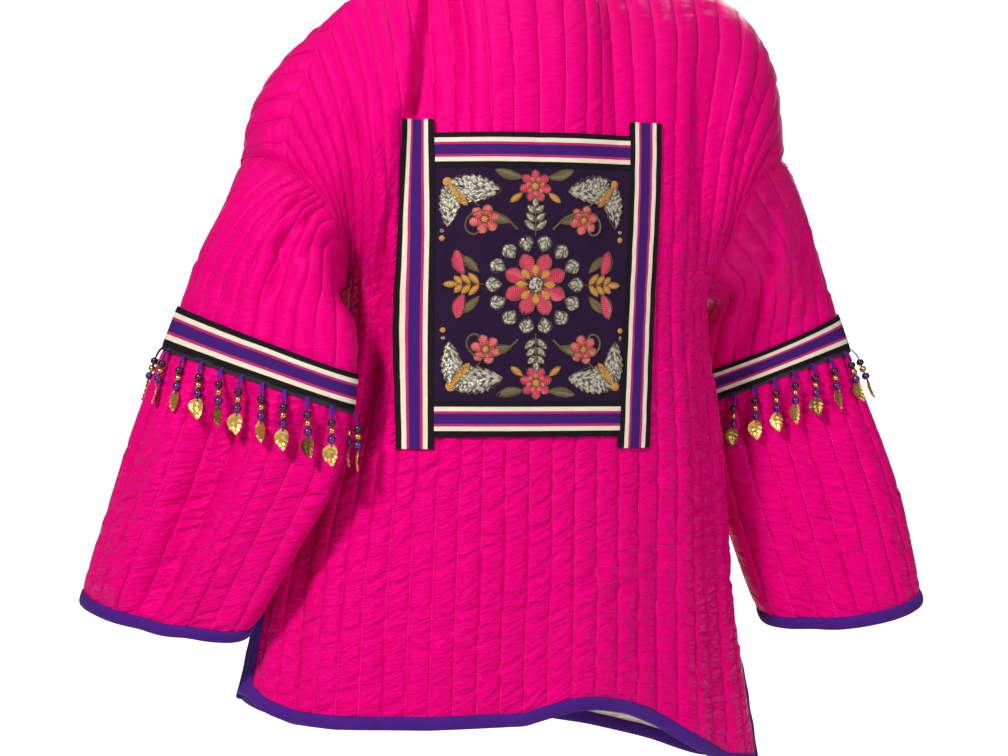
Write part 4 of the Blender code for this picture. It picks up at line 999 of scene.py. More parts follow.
@dataclass(frozen=True)
class Grosgrain:
    """Ribbed purple binding: colours and the ribs' spacing."""

    colour: tuple = (0.080, 0.010, 0.27)
    deep: tuple = (0.030, 0.004, 0.12)
    rib: float = 0.0011

    def make(self) -> Material:
        """Ribs across the binding, their backs lighter and the hollows between them darker."""
        n = Nodes("purple_binding")
        place, _, along_it = n.flat()
        turn = n.maths("MULTIPLY", n.maths("DIVIDE", along_it, self.rib), 2 * math.pi)
        rib = n.maths("MULTIPLY_ADD", n.maths("SINE", turn), 0.5, 0.5)
        cloudy = n.noise(n.scaled(place, 30.0, 12.0), 1.0, 4.0)
        tone = n.mix(n.maths("MULTIPLY_ADD", rib, 0.6, n.maths("MULTIPLY_ADD", cloudy, 0.8, -0.3)),
                     self.deep, self.colour)
        fuzz = n.noise(n.scaled(place, 2500.0, 2500.0), 1.0, 2.0)
        return n.done(tone, 0.62, n.bump(fuzz, 0.00010, n.bump(rib, 0.00030)), Specular_IOR_Level=0.12,
                      Sheen_Weight=0.05, Sheen_Roughness=0.5)


@dataclass(frozen=True)
class Woven:
    """Striped woven ribbon: each stripe's end across the ribbon, 0 to 1, and its colour."""

    ends: tuple = (0.150, 0.275, 0.345, 0.630, 0.705, 0.830, 1.0)
    tones: tuple = ("black", "cream", "pink", "purple", "pink", "cream", "black")
    colours: tuple = (("black", (0.006, 0.005, 0.006)), ("cream", (0.86, 0.76, 0.58)),
                      ("pink", (0.50, 0.020, 0.15)), ("purple", (0.050, 0.009, 0.155)))
    pick: float = 0.00085

    def make(self) -> Material:
        """Stripes of warp with the weft's picks running across them."""
        n = Nodes("striped_ribbon")
        place, across, along_it = n.flat()
        named = dict(self.colours)
        wobble = n.maths("MULTIPLY_ADD", n.noise(n.scaled(place, 3.0, 900.0), 1.0, 2.0), 0.012, -0.006)
        at = n.maths("ADD", across, wobble)
        ramp = n.add("ShaderNodeValToRGB")
        n.join(at, ramp.inputs[0])
        bands = ramp.color_ramp
        bands.interpolation = "CONSTANT"
        bands.elements.remove(bands.elements[1])
        bands.elements[0].position = 0.0
        bands.elements[0].color = (*named[self.tones[0]], 1.0)
        for end, tone in zip(self.ends[:-1], self.tones[1:]):
            bands.elements.new(end).color = (*named[tone], 1.0)
        turn = n.maths("MULTIPLY", n.maths("DIVIDE", along_it, self.pick), 2 * math.pi)
        warp = n.maths("MULTIPLY", across, 2 * math.pi * 44.0)
        weft = n.maths("MULTIPLY", n.maths("SINE", turn), n.maths("SINE", warp))
        height = n.maths("MULTIPLY_ADD", weft, 0.5, 0.5)
        fade = n.maths("MULTIPLY_ADD", height, 0.25, n.noise(n.scaled(place, 8.0, 50.0), 1.0, 3.0))
        tone = n.mix(n.maths("MULTIPLY", fade, 0.30), ramp.outputs[0], (0.02, 0.012, 0.02))
        return n.done(tone, 0.58, n.bump(height, 0.00022), Specular_IOR_Level=0.06, Sheen_Weight=0.01)


@dataclass(frozen=True)
class Ground:
    """Dark purple ground cloth of the picture panel."""

    colour: tuple = (0.024, 0.007, 0.037)
    deep: tuple = (0.010, 0.003, 0.016)

    def make(self) -> Material:
        """A matt plain weave, uneven in depth."""
        n = Nodes("dark_ground")
        place, across, along_it = n.flat()
        warp = n.maths("SINE", n.maths("MULTIPLY", across, 2 * math.pi / 0.0007))
        weft = n.maths("SINE", n.maths("MULTIPLY", along_it, 2 * math.pi / 0.0007))
        weave = n.maths("MULTIPLY_ADD", n.maths("MULTIPLY", warp, weft), 0.5, 0.5)
        cloudy = n.noise(n.scaled(place, 45.0, 45.0), 1.0, 5.0)
        tone = n.mix(n.maths("MULTIPLY_ADD", weave, 0.3, n.maths("MULTIPLY", cloudy, 0.7)), self.deep,
                     self.colour)
        dents = n.bump(n.noise(n.scaled(place, 90.0, 90.0), 1.0, 3.0), 0.0006)
        return n.done(tone, 0.75, n.bump(weave, 0.00018, dents), Specular_IOR_Level=0.08, Sheen_Weight=0.03)


@dataclass(frozen=True)
class Thread:
    """Embroidery thread: its colour, a second tone, and how metallic it is."""

    name: str
    colour: tuple
    second: tuple
    metallic: float = 0.0
    roughness: float = 0.45
    stitch: float = 0.0021
    dotted: bool = False

    def make(self) -> Material:
        """Laid stitches across the motif, or dots where it is stippled."""
        n = Nodes(self.name)
        place, across, along_it = n.flat()
        slant = n.maths("ADD", along_it, n.maths("MULTIPLY", across, 0.45))
        line = n.maths("SINE", n.maths("MULTIPLY", slant, 2 * math.pi / self.stitch))
        if self.dotted:
            cells = n.add("ShaderNodeTexVoronoi", feature="F1")
            n.join(n.scaled(place, 1.0, 1.0), cells.inputs["Vector"])
            cells.inputs["Scale"].default_value = 400.0
            line = n.maths("SUBTRACT", 1.0, n.maths("MULTIPLY", cells.outputs[0], 2.6))
        height = n.maths("MULTIPLY_ADD", line, 0.5, 0.5)
        cloudy = n.noise(n.scaled(place, 160.0, 160.0), 1.0, 3.0)
        share = n.maths("MULTIPLY_ADD", cloudy, 0.5, n.maths("MULTIPLY_ADD", height, 0.95, -0.22))
        tone = n.mix(share, self.second, self.colour)
        return n.done(tone, self.roughness, n.bump(height, 0.0007), Metallic=self.metallic)


@dataclass(frozen=True)
class Glaze:
    """Glossy bead or beaten metal: its colour, a second tone, and its gloss."""

    name: str
    colour: tuple
    second: tuple
    metallic: float = 0.0
    roughness: float = 0.12
    coat: float = 0.6
    dents: float = 0.0001

    def make(self) -> Material:
        """Clouded colour with small dents and scratches."""
        n = Nodes(self.name)
        spot = n.spot()
        cloudy = n.noise(spot, 170.0, 4.0)
        tone = n.mix(cloudy, self.second, self.colour)
        rough = n.maths("MULTIPLY_ADD", n.noise(spot, 600.0, 3.0), 0.25, self.roughness)
        return n.done(tone, rough, n.bump(n.noise(spot, 420.0, 2.0), self.dents), Metallic=self.metallic,
                      Coat_Weight=self.coat, Coat_Roughness=0.08)


# CLOTH

FRACTIONS = (0.0, 0.05, 0.16, 0.32, 0.5, 0.68, 0.84, 0.95)


def fine_channels(first: float, last: float) -> Vec:
    """Channels sampled closely beside every stitch line."""
    made = [whole + part for whole in range(math.floor(first), math.ceil(last)) for part in FRACTIONS]
    made = np.array(made + [float(last)])
    made = made[(made >= first - 1e-9) & (made <= last + 1e-9)]
    return np.unique(np.round(made, 6))


def pillow(k: Vec) -> Vec:
    """The quilting's height over a channel, 0 on the stitch lines and 1 between them."""
    part = np.mod(k, 1.0)
    return (4.0 * part * (1.0 - part)) ** 0.62


@dataclass
class Creases:
    """Small slanted puckers and longer listed creases, in flat coordinates.

    Args:
        seed: Start of the random numbers.
        spacing: Mean distance between the puckers of one channel, at the top and low down.
        depth: Depth of a pucker.
    """

    seed: int
    spacing: tuple[float, float] = (0.055, 0.017)
    depth: float = 0.0018
    waves: int = 7

    def small(self, k: Vec, run: Vec) -> Vec:
        """Depth of the puckers: each starts near a channel's right-hand line and rises to the right."""
        random_of = np.random.default_rng(self.seed)
        made = np.zeros(np.broadcast(k, run).shape)
        k = np.broadcast_to(k, made.shape)
        run = np.broadcast_to(run, made.shape)
        span = (float(run.min()), float(run.max()))
        for channel in range(math.floor(k.min()), math.ceil(k.max())):
            inside = (k >= channel) & (k < channel + 1)
            if not inside.any():
                continue
            part, down = (k - channel)[inside], run[inside]
            total = np.zeros(part.shape)
            at = span[0] + random_of.uniform(0, 0.03)
            while at < span[1]:
                low = min(max((at - span[0]) / (span[1] - span[0]) * 2.2 - 0.5, 0.0), 1.0)
                slope = random_of.uniform(0.1, 0.8) * CHANNEL
                wide = random_of.uniform(0.0022, 0.0045)
                deep = self.depth * random_of.uniform(0.3, 1.5)
                begin = random_of.uniform(-0.1, 0.55)
                line = (down - at + slope * (part - 0.5)) / wide
                reach = ease((part - begin) / 0.3) * ease((1.04 - part) / 0.12)
                total += deep * reach * (np.exp(-line ** 2) - 0.45 * np.exp(-(line - 1.9) ** 2))
                gap = self.spacing[0] + (self.spacing[1] - self.spacing[0]) * low
                at += random_of.uniform(0.35, 1.7) * gap
            made[inside] = total
        return made

    def swell(self, k: Vec, run: Vec, height: float) -> Vec:
        """Broad uneven rise and fall of the cloth."""
        random_of = np.random.default_rng(self.seed + 100)
        made = 0.0
        for _ in range(self.waves):
            across, down = random_of.uniform(8.0, 42.0), random_of.uniform(14.0, 60.0)
            start = random_of.uniform(0, 2 * math.pi, 2)
            made = made + np.sin(across * k * CHANNEL + start[0] + 0.6 * np.sin(down * run * 0.4)) \
                * np.sin(down * run + start[1])
        return height * made / self.waves ** 0.5

    @staticmethod
    def long(k: Vec, run: Vec, lines: tuple) -> Vec:
        """Depth of the listed creases: soft troughs with a low ridge beside them.

        Args:
            k: Channels.
            run: Distances down.
            lines: Channel and distance down of both ends, depth and half width.

        Returns:
            Depths at each place.
        """
        made = np.zeros(np.broadcast(k, run).shape)
        for k_start, run_start, k_end, run_end, depth, half in lines:
            start = np.array([k_start * CHANNEL, run_start])
            way = np.array([k_end * CHANNEL, run_end]) - start
            length = float(np.linalg.norm(way))
            way = way / length
            off = np.stack(np.broadcast_arrays(k * CHANNEL - start[0], run - start[1]), axis=-1)
            on = off @ way / length
            beside = (off @ np.array([-way[1], way[0]])) / half
            bend = 0.35 * np.sin(math.pi * on) + 0.15 * np.sin(2.7 * math.pi * on)
            fade = np.sin(math.pi * np.clip(on, 0.0, 1.0)) ** 0.7
            apart = beside - bend
            made += depth * fade * (np.exp(-apart ** 2) - 0.5 * np.exp(-((apart - 2.1) / 1.3) ** 2))
        return made


# Long creases by panel: channel and distance down at both ends, depth, half width
BACK_CREASES = (
    (-4.1, 0.000, -8.4, 0.345, 0.0110, 0.011), (-8.0, 0.235, -8.7, 0.520, 0.0060, 0.009),
    (-5.6, 0.060, -4.4, 0.215, 0.0025, 0.009), (-4.0, 0.035, -3.4, 0.120, 0.0016, 0.006),
    (-3.1, 0.050, -2.7, 0.110, 0.0012, 0.005), (-8.8, 0.100, -6.6, 0.300, 0.0030, 0.008),
    (-10.5, 0.080, -8.6, 0.240, 0.0022, 0.007), (-12.2, 0.070, -9.8, 0.160, 0.0020, 0.006),
    (-9.5, 0.340, -7.2, 0.310, 0.0016, 0.006), (-7.4, 0.560, -5.4, 0.520, 0.0016, 0.006),
    (-6.6, 0.620, -4.8, 0.585, 0.0014, 0.005), (-4.9, 0.700, -2.2, 0.655, 0.0016, 0.006),
    (1.2, 0.665, 3.9, 0.600, 0.0026, 0.007), (3.2, 0.665, 5.0, 0.620, 0.0022, 0.006),
    (4.6, 0.560, 6.6, 0.505, 0.0020, 0.006), (3.6, 0.730, 6.0, 0.680, 0.0020, 0.007),
    (7.2, 0.420, 9.0, 0.345, 0.0020, 0.006), (6.6, 0.300, 8.8, 0.225, 0.0018, 0.006),
    (8.2, 0.110, 8.8, 0.300, 0.0024, 0.007), (9.6, 0.060, 9.9, 0.240, 0.0020, 0.007),
    (-1.8, 0.530, -0.2, 0.500, 0.0012, 0.005), (0.4, 0.585, 2.0, 0.560, 0.0012, 0.005),
)
FRONT_CREASES = (
    (3.0, 0.120, 5.6, 0.330, 0.0025, 0.009), (6.2, 0.150, 9.0, 0.260, 0.0025, 0.008),
    (9.5, 0.330, 6.8, 0.410, 0.0022, 0.007), (4.0, 0.560, 7.4, 0.500, 0.0020, 0.007),
    (7.8, 0.620, 10.4, 0.560, 0.0020, 0.006), (2.2, 0.650, 4.2, 0.610, 0.0018, 0.006),
    (11.0, 0.420, 9.2, 0.480, 0.0018, 0.006), (5.2, 0.420, 6.8, 0.380, 0.0015, 0.006),
)
SLEEVE_CREASES = {
    LEFT: ((4.1, 0.170, 3.9, 0.500, 0.0170, 0.024), (8.0, 0.200, 7.6, 0.460, 0.0050, 0.016),
           (2.2, 0.020, 5.4, 0.150, 0.0032, 0.008), (5.9, 0.025, 2.6, 0.140, 0.0028, 0.008),
           (1.0, 0.070, 4.8, 0.110, 0.0022, 0.007), (6.6, 0.060, 4.0, 0.165, 0.0024, 0.007),
           (0.6, 0.140, 3.4, 0.175, 0.0018, 0.006), (5.6, 0.190, 7.4, 0.290, 0.0028, 0.009),
           (2.0, 0.215, 3.8, 0.262, 0.0020, 0.007), (4.4, 0.300, 6.4, 0.270, 0.0018, 0.006),
           (1.4, 0.330, 3.4, 0.300, 0.0018, 0.006), (7.2, 0.330, 8.8, 0.300, 0.0016, 0.006),
           (11.0, 0.060, 13.6, 0.170, 0.0026, 0.008), (13.0, 0.220, 15.6, 0.300, 0.0024, 0.008)),
    RIGHT: ((4.4, 0.200, 4.2, 0.460, 0.0060, 0.026), (7.0, 0.040, 6.4, 0.220, 0.0060, 0.012),
            (3.2, 0.020, 6.4, 0.130, 0.0032, 0.008), (1.2, 0.060, 4.6, 0.150, 0.0024, 0.007),
            (6.8, 0.030, 4.2, 0.120, 0.0026, 0.007), (7.0, 0.100, 5.4, 0.170, 0.0020, 0.006),
            (2.4, 0.215, 4.4, 0.262, 0.0020, 0.007), (6.4, 0.215, 7.6, 0.310, 0.0026, 0.009),
            (3.6, 0.320, 5.8, 0.285, 0.0018, 0.006), (1.0, 0.300, 2.8, 0.335, 0.0016, 0.006),
            (11.4, 0.060, 14.0, 0.170, 0.0026, 0.008), (12.6, 0.230, 15.4, 0.300, 0.0024, 0.008)),
}


@dataclass
class QuiltedPanel:
    """The back or one front: its fine grid, sewn edges and lining.

    Args:
        name: The piece's name.
        panel: Its coarse shape.
        edges: The first and last channel, and whether the first is an edge of the cloth.
        creases: The puckers.
        lines: Long creases.
    """

    name: str
    panel: Panel
    edges: tuple[float, float, bool]
    creases: Creases
    lines: tuple
    step: float = 0.0056
    high: float = 0.0027
    swell: float = 0.0009

    def __post_init__(self) -> None:
        """Lay out the fine rows, channels and heights."""
        first, last, self.cut_edge = self.edges
        middle = self.panel.points[:, self.panel.points.shape[1] // 2]
        run = run_of(middle)
        count = round(run[-1] / self.step)
        self.run = np.linspace(0.0, run[-1], count + 1)
        self.rows = np.interp(self.run, run, np.arange(ROWS + 1))
        seams = [SEAM_K[min(row, UPPER_ROWS)] for row in range(ROWS + 1)]
        self.last = np.interp(self.rows, np.arange(ROWS + 1), seams)
        k = fine_channels(first, last)
        self.k = np.clip(k[None, :], -self.last[:, None] if first < 0 else first, self.last[:, None])
        self.points, self.ways = self.panel.sample(self.rows, self.k)

    def height(self) -> Vec:
        """How far the silk stands over the seams' surface."""
        run = self.run[:, None]
        sides = ease((self.last[:, None] - np.abs(self.k)) / 0.4)
        if self.cut_edge:
            sides = sides * ease((self.k - self.edges[0]) / 0.4)
        ends = ease(run / 0.010) * ease((run[-1] - run) / 0.008)
        puff = pillow(self.k)
        made = self.high * puff * (1.0 - 0.22 * self.under_panel())
        made = made - self.creases.small(self.k, run) * puff ** 0.5
        shown = sides * ends
        return made * shown - 0.0004 * (1 - shown) * (shown > 0)

    def shift(self) -> Vec:
        """How far the whole wall moves out: long creases and the cloth's broad unevenness."""
        run = self.run[:, None]
        sides = ease((self.last[:, None] - np.abs(self.k)) / 1.2)
        if self.cut_edge:
            sides = sides * ease((self.k - self.edges[0]) / 1.2)
        ends = ease(run / 0.030) * ease((run[-1] - run) / 0.020)
        moved = self.creases.swell(self.k, run, self.swell) - self.creases.long(self.k, run, self.lines)
        return moved * sides * ends * (1.0 - self.under_panel())

    def under_panel(self) -> Vec:
        """1 where the picture panel presses the back flat."""
        if self.cut_edge:
            return np.zeros(self.k.shape)
        x, z = self.points[..., 0], self.points[..., 2]
        soft = 0.012
        across = ease((x - PANEL_LEFT[1] + soft) / soft) * ease((PANEL_RIGHT[0] + soft - x) / soft)
        return (across * ease((PANEL_Z["top_end"] + soft - z) / soft)
                * ease((z - PANEL_Z["foot_end"] + soft) / soft))

    def wall(self) -> Vec:
        """The wall's thickness below the seams' surface, thinned at the pits."""
        up = (self.rows[:, None] - (UPPER_ROWS - 1)) / PIT_ROWS
        back = np.clip(self.last[:, None] - np.abs(self.k), 0.0, None) / (PIT_HALF_CHANNELS / 2)
        return WALL * (1.0 - PIT_THIN * np.exp(-up ** 2 - back ** 2))

    def build(self, surface: Material) -> Object:
        """Make the panel."""
        pressed = self.under_panel()
        high = np.minimum(self.height(), 0.0026 * pressed + 0.0080 * (1.0 - pressed))
        moved = self.shift()
        outer = self.points + self.ways * (moved + high)[..., None]
        inner = self.points + self.ways * (moved - self.wall())[..., None]
        u = self.k * CHANNEL
        v = np.broadcast_to(self.run[:, None], u.shape)
        item = Grid(outer, inner, u, v).build(f"cloth_{self.name}", surface)
        return declare(item, "magenta_silk", self.name)


# Channels by which a sleeve's stitch lines move up the armhole, and the channels and level they fade over
LINES_SHIFT = {LEFT: 2.4, RIGHT: 0.0}
LINES_OVER = 12.0
LINES_UNTIL = 0.26


@dataclass
class QuiltedSleeve:
    """One sleeve: a quilted tube from the armhole to the cuff."""

    shape: SleeveShape
    creases: Creases
    step: float = 0.0052
    high: float = 0.0027
    swell: float = 0.0008

    def __post_init__(self) -> None:
        """Lay out the fine rings."""
        count = round(self.shape.length / self.step)
        self.levels = np.linspace(0.0, 1.0, count + 1)
        self.k = fine_channels(0.0, SLEEVE_COLUMNS / 2)[:-1]
        self.points, self.ways = self.shape.sample(self.levels, self.k * 2.0)
        self.straighten()

    def straighten(self) -> None:
        """Run the stitch lines of the visible side straight down from the armhole."""
        share = np.sin(math.pi * np.clip((self.k - 0.5) / LINES_OVER, 0.0, 1.0)) ** 2
        ends = np.append(self.k, SLEEVE_COLUMNS / 2)
        for i, level in enumerate(self.levels):
            moved = LINES_SHIFT[self.shape.side] * ease((1.0 - level / LINES_UNTIL) * 1.3)
            at = self.k - moved * share
            for grid in (self.points, self.ways):
                ring = np.vstack([grid[i], grid[i][:1]])
                grid[i] = np.stack([np.interp(at, ends, ring[:, axis]) for axis in range(3)], axis=-1)
            self.ways[i] = unit(self.ways[i])

    def height(self) -> Vec:
        """How far the silk stands over the seams' surface."""
        run = (self.levels * self.shape.length)[:, None]
        k = self.k[None, :]
        ends = ease(run / 0.010) * ease((run[-1] - run) / 0.008)
        band = self.under_band(0.02)
        puff = pillow(k)
        made = self.high * puff * (1.0 - 0.3 * band)
        made = made - self.creases.small(k, run) * puff ** 0.5 * (1 - band)
        return made * ends - 0.0004 * (1 - ends)

    def shift(self) -> Vec:
        """How far the whole wall moves out: long creases and the cloth's broad unevenness."""
        run = (self.levels * self.shape.length)[:, None]
        k = self.k[None, :]
        ends = ease(run / 0.030) * ease((run[-1] - run) / 0.020)
        join = ease(k / 1.0) * ease((SLEEVE_COLUMNS / 2 - k) / 1.0)
        moved = self.creases.swell(k, run, self.swell) * join
        moved = moved - self.creases.long(k, run, SLEEVE_CREASES[self.shape.side])
        return moved * ends * (1 - self.under_band(0.06))

    def under_band(self, soft: float) -> Vec:
        """1 where the striped band presses the sleeve, fading out over a share of its length."""
        below = ease((self.levels - BAND_TOP + soft) / soft)
        return (below * ease((self.shape.band_end + soft - self.levels) / soft))[:, None]

    def build(self, surface: Material) -> Object:
        """Make the sleeve."""
        near = ((self.k - SLEEVE_COLUMNS / 4) * 2 / PIT_COLUMNS)[None, :] ** 2
        rings = np.interp(self.levels, self.shape.levels, np.arange(len(self.shape.levels)))[:, None]
        thin = 1.0 - PIT_THIN * np.exp(-near - (rings / PIT_RINGS) ** 2)
        moved = self.shift() * np.clip(2.0 * thin - 1.0, 0.0, 1.0)
        outer = self.points + self.ways * (moved + self.height() * np.minimum(thin + 0.25, 1.0))[..., None]
        inner = self.points + self.ways * (moved - WALL * thin)[..., None]
        u = np.broadcast_to(self.k[None, :] * CHANNEL, thin.shape)
        v = np.broadcast_to((self.levels * self.shape.length)[:, None], thin.shape)
        name = f"sleeve_{self.shape.side.value}"
        item = Grid(outer, inner, u, v, closed=True).build(f"cloth_{name}", surface)
        return declare(item, "magenta_silk", name)


# BINDINGS


@dataclass
class Edge:
    """A run along a panel's edge: points, ways out past the edge, and outward directions."""

    points: Vec
    away: Vec
    ways: Vec

    def back(self) -> "Edge":
        """The run the other way round."""
        return Edge(self.points[::-1], self.away[::-1], self.ways[::-1])

    @staticmethod
    def of(points: Vec, ways: Vec, inside: Vec) -> "Edge":
        """A run whose ways out are square to it, away from the inside."""
        away = unit(np.cross(unit(np.gradient(points, axis=0)), ways))
        if float((away * (points - inside)).sum()) < 0:
            away = -away
        return Edge(points, away, ways)

    @staticmethod
    def chain(runs: list["Edge"]) -> "Edge":
        """Runs joined end to end with mitred corners."""
        points, away, ways = list(runs[0].points), list(runs[0].away), list(runs[0].ways)
        for run in runs[1:]:
            points[-1] = (points[-1] + run.points[0]) / 2
            away[-1] = away[-1] + run.away[0]
            ways[-1] = unit(ways[-1] + run.ways[0])
            points += list(run.points[1:])
            away += list(run.away[1:])
            ways += list(run.ways[1:])
        return Edge(np.array(points), np.array(away), np.array(ways))


# A binding's folded section, lapping the cloth: share across to the fold, and height over the seams
BIND_SECTION = ((0.00, 0.0002), (-0.19, 0.0004), (-0.18, 0.0011), (-0.05, 0.0020), (0.18, 0.0027),
                (0.45, 0.0028), (0.75, 0.0023), (0.93, 0.0012), (1.00, -0.0010), (1.00, -0.0026),
                (0.93, -0.0041), (0.72, -0.0050), (0.42, -0.0053), (0.16, -0.0050), (-0.06, -0.0046),
                (-0.18, -0.0041), (-0.19, -0.0035), (0.00, -0.0033))


@dataclass
class Binding:
    """A folded ribbed binding along an edge."""

    name: str
    edge: Edge
    closed: bool = False
    taper: tuple[bool, bool] = (False, False)

    def build(self, surface: Material) -> Object:
        """Make the binding, uneven as sewn cloth is."""
        points, away, ways = self.edge.points, self.edge.away, self.edge.ways
        count = len(points)
        run = run_of(points)
        widths = np.full(count, BIND_WIDTH - BIND_GAP)
        for at_start, tapered in zip((True, False), self.taper):
            if tapered:
                near = run if at_start else run[-1] - run
                widths *= VENT_TAPER + (1.0 - VENT_TAPER) * ease(near / 0.035)
        uneven = 0.00035 * np.sin(run * 190.0) + 0.00025 * np.sin(run * 67.0 + 1.0)
        rows = []
        for share, height in BIND_SECTION:
            arch = math.sin(math.pi * min(max(share, 0.0), 1.0)) ** 0.5
            bulge = uneven * (1.0 if height > 0 else -1.0) * arch
            rows.append(points + away * (BIND_GAP + share * widths)[:, None]
                        + ways * (height + bulge)[:, None])
        grid = np.stack(rows, axis=1)
        return declare(self.tube(grid, run, surface), "purple_binding", self.name)

    def tube(self, grid: Vec, run: Vec, surface: Material) -> Object:
        """A tube through the sections, its ends shut or joined."""
        count, around = grid.shape[:2]
        mesh = bmesh.new()
        flat = mesh.loops.layers.uv.new("cloth")
        places = turned(grid)
        verts = [[mesh.verts.new(place) for place in section] for section in places]
        last = count if self.closed else count - 1
        girth = run_of(grid[0])
        girth = np.append(girth, girth[-1] + BIND_GAP)
        lengths = np.append(run, run[-1] + (run[1] - run[0]))
        for i in range(last):
            after = (i + 1) % count
            for j in range(around):
                beside = (j + 1) % around
                corners = (verts[i][j], verts[i][beside], verts[after][beside], verts[after][j])
                face = mesh.faces.new(corners)
                marks = ((i, j), (i, j + 1), (i + 1, j + 1), (i + 1, j))
                for loop, (a, b) in zip(face.loops, marks):
                    loop[flat].uv = (girth[b], lengths[a])
        if not self.closed:
            for section in (verts[0], verts[-1]):
                mesh.faces.new(section)
        bmesh.ops.recalc_face_normals(mesh, faces=mesh.faces[:])
        return finished(f"cloth_{self.name}", mesh, [surface], 70.0)


# THE PANEL ON THE BACK


@dataclass
class LaidPiece:
    """A ribbon or the ground cloth, laid on the back.

    Args:
        name: The node that it stands for.
        sides: Its two sides across at a height.
        ends: Its heights at the top and foot.
        thick: Its thickness.
        upright: Whether the ribbon runs down, or across.
        slot: Its material slot.
    """

    name: str
    sides: Callable[[Vec], tuple[Vec, Vec]]
    ends: tuple[float, float]
    thick: float
    upright: bool = True
    slot: str = "striped_ribbon"
    step: float = 0.004

    def build(self, back: WholeBack, surface: Material) -> Object:
        """Lay the piece over the back."""
        top, foot = self.ends
        low, high = self.sides(np.array([(top + foot) / 2]))
        across = np.linspace(0.0, 1.0, max(round(float(high[0] - low[0]) / self.step), 9) + 1)
        down = np.linspace(0.0, 1.0, max(round((top - foot) / self.step), 9) + 1)
        z = np.broadcast_to((top + (foot - top) * down)[:, None], (len(down), len(across)))
        low, high = self.sides(z)
        x = low + (high - low) * across[None, :]
        rows, k = back.find(x.ravel(), z.ravel())
        points, ways = back.sample(rows, k[:, None])
        points, ways = points[:, 0].reshape(*x.shape, 3), ways[:, 0].reshape(*x.shape, 3)
        ripple = 0.00035 * (pillow(k).reshape(x.shape) - 0.6)
        ripple = ripple + 0.00025 * np.sin(z * 160.0 + x * 35.0) + 0.0002 * np.sin(x * 210.0)
        rim = np.minimum(np.minimum(across, 1 - across)[None, :], np.minimum(down, 1 - down)[:, None])
        roll = -0.0004 * (rim < 1e-6)
        outer = points + ways * (LAID_UP + self.thick + ripple + roll)[..., None]
        inner = points + ways * (LAID_UP - 0.0014)
        length, width = (top - z), (x - low)
        if self.slot == "striped_ribbon":
            span = (high - low) if self.upright else np.full(x.shape, top - foot)
            u, v = (width / span, length) if self.upright else (length / span, width)
        else:
            u, v = width, length
        item = Grid(outer, inner, u, v).build(f"cloth_{self.name}", surface)
        return declare(item, self.slot, self.name)


def panel_edge(edge: tuple[float, float], z: Vec) -> Vec:
    """An outer edge of the picture panel at a height."""
    share = (PANEL_Z["top_end"] - z) / (PANEL_Z["top_end"] - PANEL_Z["foot_end"])
    return edge[0] + (edge[1] - edge[0]) * share


def left_sides(z: Vec) -> tuple[Vec, Vec]:
    """Both sides of the left ribbon."""
    edge = panel_edge(PANEL_LEFT, z)
    return edge, edge + RIBBON_WIDTH * RIBBON_SEEN


def right_sides(z: Vec) -> tuple[Vec, Vec]:
    """Both sides of the right ribbon."""
    edge = panel_edge(PANEL_RIGHT, z)
    return edge - RIBBON_WIDTH * RIBBON_SEEN, edge


def inner_sides(z: Vec) -> tuple[Vec, Vec]:
    """The sides of what lies between the upright ribbons."""
    return left_sides(z)[1] + 0.0001, right_sides(z)[0] - 0.0001


